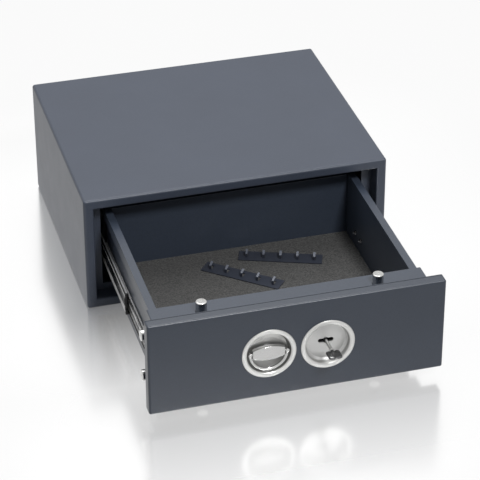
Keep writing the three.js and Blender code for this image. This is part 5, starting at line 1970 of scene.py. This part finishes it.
@dataclass
class Boltwork:
    """The eight round bolts, and the cams and carriers that stay as CAD nodes."""

    radius: float = 8.5
    length: float = 39.0
    chamfer: float = 1.5
    rim: float = 5.2
    mark_edge: float = 0.9
    mark_depth: float = 0.7
    axis_y: float = -495.2
    middle_z: float = 100.8
    ends_reach: float = 79.6
    ends_spread: float = 137.0
    sides_reach: float = 230.4
    sides_spread: float = 35.6

    def build(self) -> None:
        """Builds and dresses the boltwork."""
        blank = self.blank()
        for side in Side:
            for way, name in ((1, "upper"), (-1, "lower")):
                across, word = side.value, side.word
                self.place(blank, f"{name}_bolt_{word}", f"{name}_bolts", (
                    across * self.ends_spread, way * (self.ends_reach - self.length),
                ), (1 - way) * math.pi / 2, "X")
                self.place(blank, f"{word}_bolt_{name}", f"{word}_bolts", (
                    across * (self.sides_reach - self.length), way * self.sides_spread,
                ), across * math.pi / 2, "Y")
        bpy.data.objects.remove(blank)
        dress_nodes(
            Finish.ZINC_STEEL, "bolt_cam", "locking_cam", "upper_carrier", "lower_carrier",
            "left_carrier", "right_carrier",
        )

    def place(
        self, blank: Piece, node: str, body: str, root: tuple[float, float], angle: float,
        axis: str,
    ) -> None:
        """Copies the bolt to its place.

        Args:
            blank: the bolt at the origin.
            node: the CAD node that the copy stands for.
            body: the body that it moves with.
            root: X of the bolt's root, and its height above the boltwork's middle.
            angle: the bolt's turn, in radians.
            axis: the axis of the turn.
        """
        at = (root[0], self.axis_y, self.middle_z + root[1])
        fit(turned_copy(blank, f"{node}_bar", at, angle, axis), body, Finish.CHROME, node)

    def blank(self) -> Piece:
        """One bolt at the origin, pointing up, with a turned tip and a centre mark.

        Returns:
            The mesh, not yet dressed.
        """
        bolt = add_rod("bolt_blank", Axis.Z, (0, 0, self.length / 2), self.radius, self.length, 72)
        round_picked(
            bolt, lambda at, along: near(at.z, self.length) and abs(along.z) < ACROSS,
            self.chamfer, 3,
        )
        with editing(bolt):
            pick_faces(bolt, lambda at, normal: normal.z > ALONG and near(at.z, self.length))
            bpy.ops.mesh.inset(thickness=self.rim * MM, depth=0)
            bpy.ops.mesh.inset(thickness=self.mark_edge * MM, depth=-self.mark_depth * MM)
        return shade(bolt, 40)


@dataclass
class KeyStrips:
    """The two loose strips with hooks pierced and bent out of them.

    A strip's place is its X, its distance behind the drawer front and its turn in degrees.
    """

    length: float = 136.0
    width: float = 27.0
    sheet: float = 1.2
    corner: float = 0.5
    edge: float = 0.25
    hooks: int = 5
    pitch: float = 27.5
    hook_width: float = 3.6
    hook_base: float = -5.2
    hook_root: float = 0.1
    hook_rise: float = 8.0
    hook_bend: float = 1.4
    hook_inner_bend: float = 0.5
    hook_edge: float = 0.22
    merged: float = 0.002
    tip_reach: float = 8.4
    tip_lift: float = 3.8
    tip_corner: float = 0.2
    window_width: float = 4.6
    window_length: float = 11.8
    window_corners: tuple[float, float] = (0.2, 1.4)
    window_overlap: float = 0.02
    floor_z: float = 49.7
    places: dict[str, tuple[float, float, float]] = field(default_factory=lambda: {
        "front": (-5.1, 289.4, -40.5), "rear": (68.8, 324.6, -20.9),
    })

    def build(self) -> None:
        """Builds and dresses both strips."""
        blank = self.blank()
        for name, (x, back, turn) in self.places.items():
            at = (x, depth(back), self.floor_z)
            strip = turned_copy(blank, f"key_strip_{name}_bar", at, math.radians(turn), "Z")
            fit(strip, f"strip_{name}", Finish.STRIP_PAINT, f"key_strip_{name}")
        bpy.data.objects.remove(blank)

    def blank(self) -> Piece:
        """One strip at the origin, lying along X.

        Returns:
            The mesh, not yet dressed.
        """
        half, side = self.length / 2, self.width / 2
        middles = [(i - (self.hooks - 1) / 2) * self.pitch for i in range(self.hooks)]
        strip = add_block("strip_blank", (-half, -side, 0), (half, side, self.sheet))
        round_picked(strip, lambda at, along: abs(along.z) > ALONG, self.corner, 3)
        cut_with(strip, *[self.window(middle) for middle in middles])
        soften(strip, self.edge, 2, 50)
        fuse(strip, *[self.hook(middle) for middle in middles])
        return shade(strip, 40)

    def window(self, middle: float) -> Piece:
        """The window that a hook is pierced from, reaching a little under the hook's post.

        Args:
            middle: X of the hook.

        Returns:
            The cutter.
        """
        half, (low_round, high_round) = self.window_width / 2, self.window_corners
        low = self.hook_base + self.sheet - self.window_overlap
        high = self.hook_base + self.window_length
        line = rounded([
            (middle - half, low, low_round), (middle + half, low, low_round),
            (middle + half, high, high_round), (middle - half, high, high_round),
        ], steps=4)
        push = (0, 0, self.sheet + 2 * OVERRUN)
        return add_outline("window_punch", [(a, b, -OVERRUN) for a, b in line], push)

    def hook(self, middle: float) -> Piece:
        """A bent hook: a post and a slanted tip of one sheet, with rounded bends.

        Args:
            middle: X of the hook.

        Returns:
            The hook's mesh.
        """
        base, root, rise, sheet = self.hook_base, self.hook_root, self.hook_rise, self.sheet
        slope = math.atan2(self.tip_lift, self.tip_reach)
        tip_y, tip_z = base + self.tip_reach, rise + self.tip_lift
        under_y, under_z = tip_y + math.sin(slope) * sheet, tip_z - math.cos(slope) * sheet
        crook = rise - sheet * math.tan(math.pi / 4 - slope / 2)
        line = rounded([
            (base, root, 0.0), (base + sheet, root, 0.0),
            (base + sheet, crook, self.hook_inner_bend), (under_y, under_z, self.tip_corner),
            (tip_y, tip_z, self.tip_corner), (base, rise, self.hook_bend),
        ], steps=4)
        start = middle - self.hook_width / 2
        hook = add_outline("hook", [(start, a, b) for a, b in line], (self.hook_width, 0, 0))
        soften(hook, self.hook_edge, 2, 50)
        with editing(hook):
            pick_corners()
            bpy.ops.mesh.remove_doubles(threshold=self.merged * MM)
        return hook


@dataclass(frozen=True)
class MirrorImage:
    """The floor's mirror image of a box that stands on it, which fades with the distance."""

    middle: Point
    half: Point
    strength: float
    reach: float

    def share(self, board: Board) -> Socket:
        """How much of the floor mirrors: the strength at the box, and zero at the reach.

        Args:
            board: the floor's board.

        Returns:
            The value socket.
        """
        last = board.place
        for operation, operand in (
            ("SUBTRACT", Vector(self.middle) * MM), ("ABSOLUTE", Vector()),
            ("SUBTRACT", Vector(self.half) * MM), ("MAXIMUM", Vector()), ("LENGTH", Vector()),
        ):
            node = board.add("ShaderNodeVectorMath")
            node.operation = operation
            board.feed(node.inputs[0], last)
            board.feed(node.inputs[1], operand)
            last = node.outputs["Value" if operation == "LENGTH" else "Vector"]
        return board.add(
            "ShaderNodeMapRange", From_Max=self.reach * MM, To_Min=self.strength, To_Max=0.0,
            Value=last,
        ).outputs["Result"]


@dataclass(frozen=True)
class SoftBox:
    """A square area lamp. Its places and its side are in metres, its power is in watts."""

    name: str
    place: Point
    aim: Point
    side: float
    power: float

    def build(self) -> None:
        """Hangs the lamp and turns it to what it lights."""
        lamp = bpy.data.lights.new(self.name, "AREA")
        lamp.shape = "SQUARE"
        lamp.size = self.side
        lamp.energy = self.power
        holder = bpy.data.objects.new(self.name, lamp)
        holder.location = self.place
        holder.rotation_mode = "QUATERNION"
        way = Vector(self.aim) - Vector(self.place)
        holder.rotation_quaternion = way.to_track_quat("-Z", "Y")
        bpy.context.scene.collection.objects.link(holder)


@dataclass
class Studio:
    """The pale glossy floor, the soft lamps, the white surroundings and the camera.

    The floor's size and drop and the camera's place are in metres, its angles in degrees.
    """

    floor_size: float = 14.0
    floor_drop: float = 0.0002
    floor_colour: Colour = (0.4, 0.4, 0.4)
    glow: float = 1.08
    glow_share: float = 0.78
    mirror_roughness: float = 0.17
    cabinet_image: MirrorImage = MirrorImage((0, 0, 0), (250, 203.5, 100), 0.82, 315)
    front_image: MirrorImage = MirrorImage((0, -548.5, 0), (230, 9, 100), 0.38, 300)
    fill: float = 0.26
    lamps: tuple[SoftBox, ...] = (
        SoftBox("top_box", (0.0, 0.7, 2.5), (0, 0.1, 0.1), 2.0, 56),
        SoftBox("key_box", (0.7, -3.1, 3.5), (0, -0.2, 0.1), 0.7, 140),
    )
    camera_place: Point = (-0.81553, -3.13982, 1.97894)
    azimuth: float = -15.5932
    elevation: float = 31.8129
    roll: float = -0.1793
    lens: float = 166.94
    sensor: float = 36.0
    sight: float = 50.0

    def build(self) -> None:
        """Builds the studio."""
        bpy.context.scene.view_settings.view_transform = "Standard"
        self.floor()
        self.surroundings()
        for lamp in self.lamps:
            lamp.build()
        self.camera()

    def floor(self) -> None:
        """A large pale glossy floor that mirrors the safe softly and keeps its shadow."""
        deselect_all()
        bpy.ops.mesh.primitive_plane_add(size=self.floor_size, location=(0, 0, -self.floor_drop))
        floor = settle(bpy.context.active_object, "studio_floor")
        board = Board("studio_floor")
        board.set(
            Base_Color=self.floor_colour, Metallic=0.0, Roughness=1.0, Specular_IOR_Level=0.0,
        )
        glow = board.add("ShaderNodeEmission", Strength=self.glow)
        shown = board.math("MULTIPLY", board.seen(), self.glow_share)
        lit = board.mix_shaders(shown, board.surface, glow)
        blur = board.spread(
            board.noise(3), self.mirror_roughness - 0.01, self.mirror_roughness + 0.02,
        )
        mirror = board.add("ShaderNodeBsdfAnisotropic", Color=WHITE, Roughness=blur)
        images = (image.share(board) for image in (self.cabinet_image, self.front_image))
        glossy = board.mix_shaders(board.math("MAXIMUM", *images), lit, mirror)
        board.show(glossy, "Material Output")
        floor.data.materials.append(board.material)

    def surroundings(self) -> None:
        """A white background for what the camera and reflections see, and a dimmer fill light."""
        world = bpy.data.worlds.new("studio")
        bpy.context.scene.world = world
        world.use_nodes = True
        sky = NodeTree(world.node_tree)
        dim = sky.tree.nodes["Background"]
        sky.feed(dim.inputs["Color"], WHITE)
        sky.feed(dim.inputs["Strength"], self.fill)
        white = sky.add("ShaderNodeBackground", Color=WHITE, Strength=1.0)
        sky.show(sky.mix_shaders(sky.seen(), dim, white), "World Output")

    def camera(self) -> None:
        """The camera, where the photograph was taken from."""
        a, e, r = (math.radians(x) for x in (self.azimuth, self.elevation, self.roll))
        back = Vector((math.sin(a) * math.cos(e), -math.cos(a) * math.cos(e), math.sin(e)))
        right = Vector((math.cos(a), math.sin(a), 0))
        up = back.cross(right)
        rolled_right = right * math.cos(r) + up * math.sin(r)
        rolled_up = up * math.cos(r) - right * math.sin(r)
        lens = bpy.data.cameras.new("camera")
        lens.lens = self.lens
        lens.sensor_width = self.sensor
        lens.clip_end = self.sight
        holder = bpy.data.objects.new("camera", lens)
        turn = Matrix((rolled_right, rolled_up, back)).transposed().to_4x4()
        holder.matrix_world = Matrix.Translation(self.camera_place) @ turn
        bpy.context.scene.collection.objects.link(holder)
        bpy.context.scene.camera = holder


def main() -> None:
    """Builds the sub-assemblies in order."""
    logging.basicConfig(level=logging.INFO, format="%(message)s")
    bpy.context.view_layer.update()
    for assembly in (
        Cabinet(), BallSlides(), DrawerFront(), DrawerBox(), TurningHandle(), KeyLock(),
        Boltwork(), KeyStrips(), Studio(),
    ):
        assembly.build()
        log.info("%s built", type(assembly).__name__)


if __name__ == "__main__":
    main()
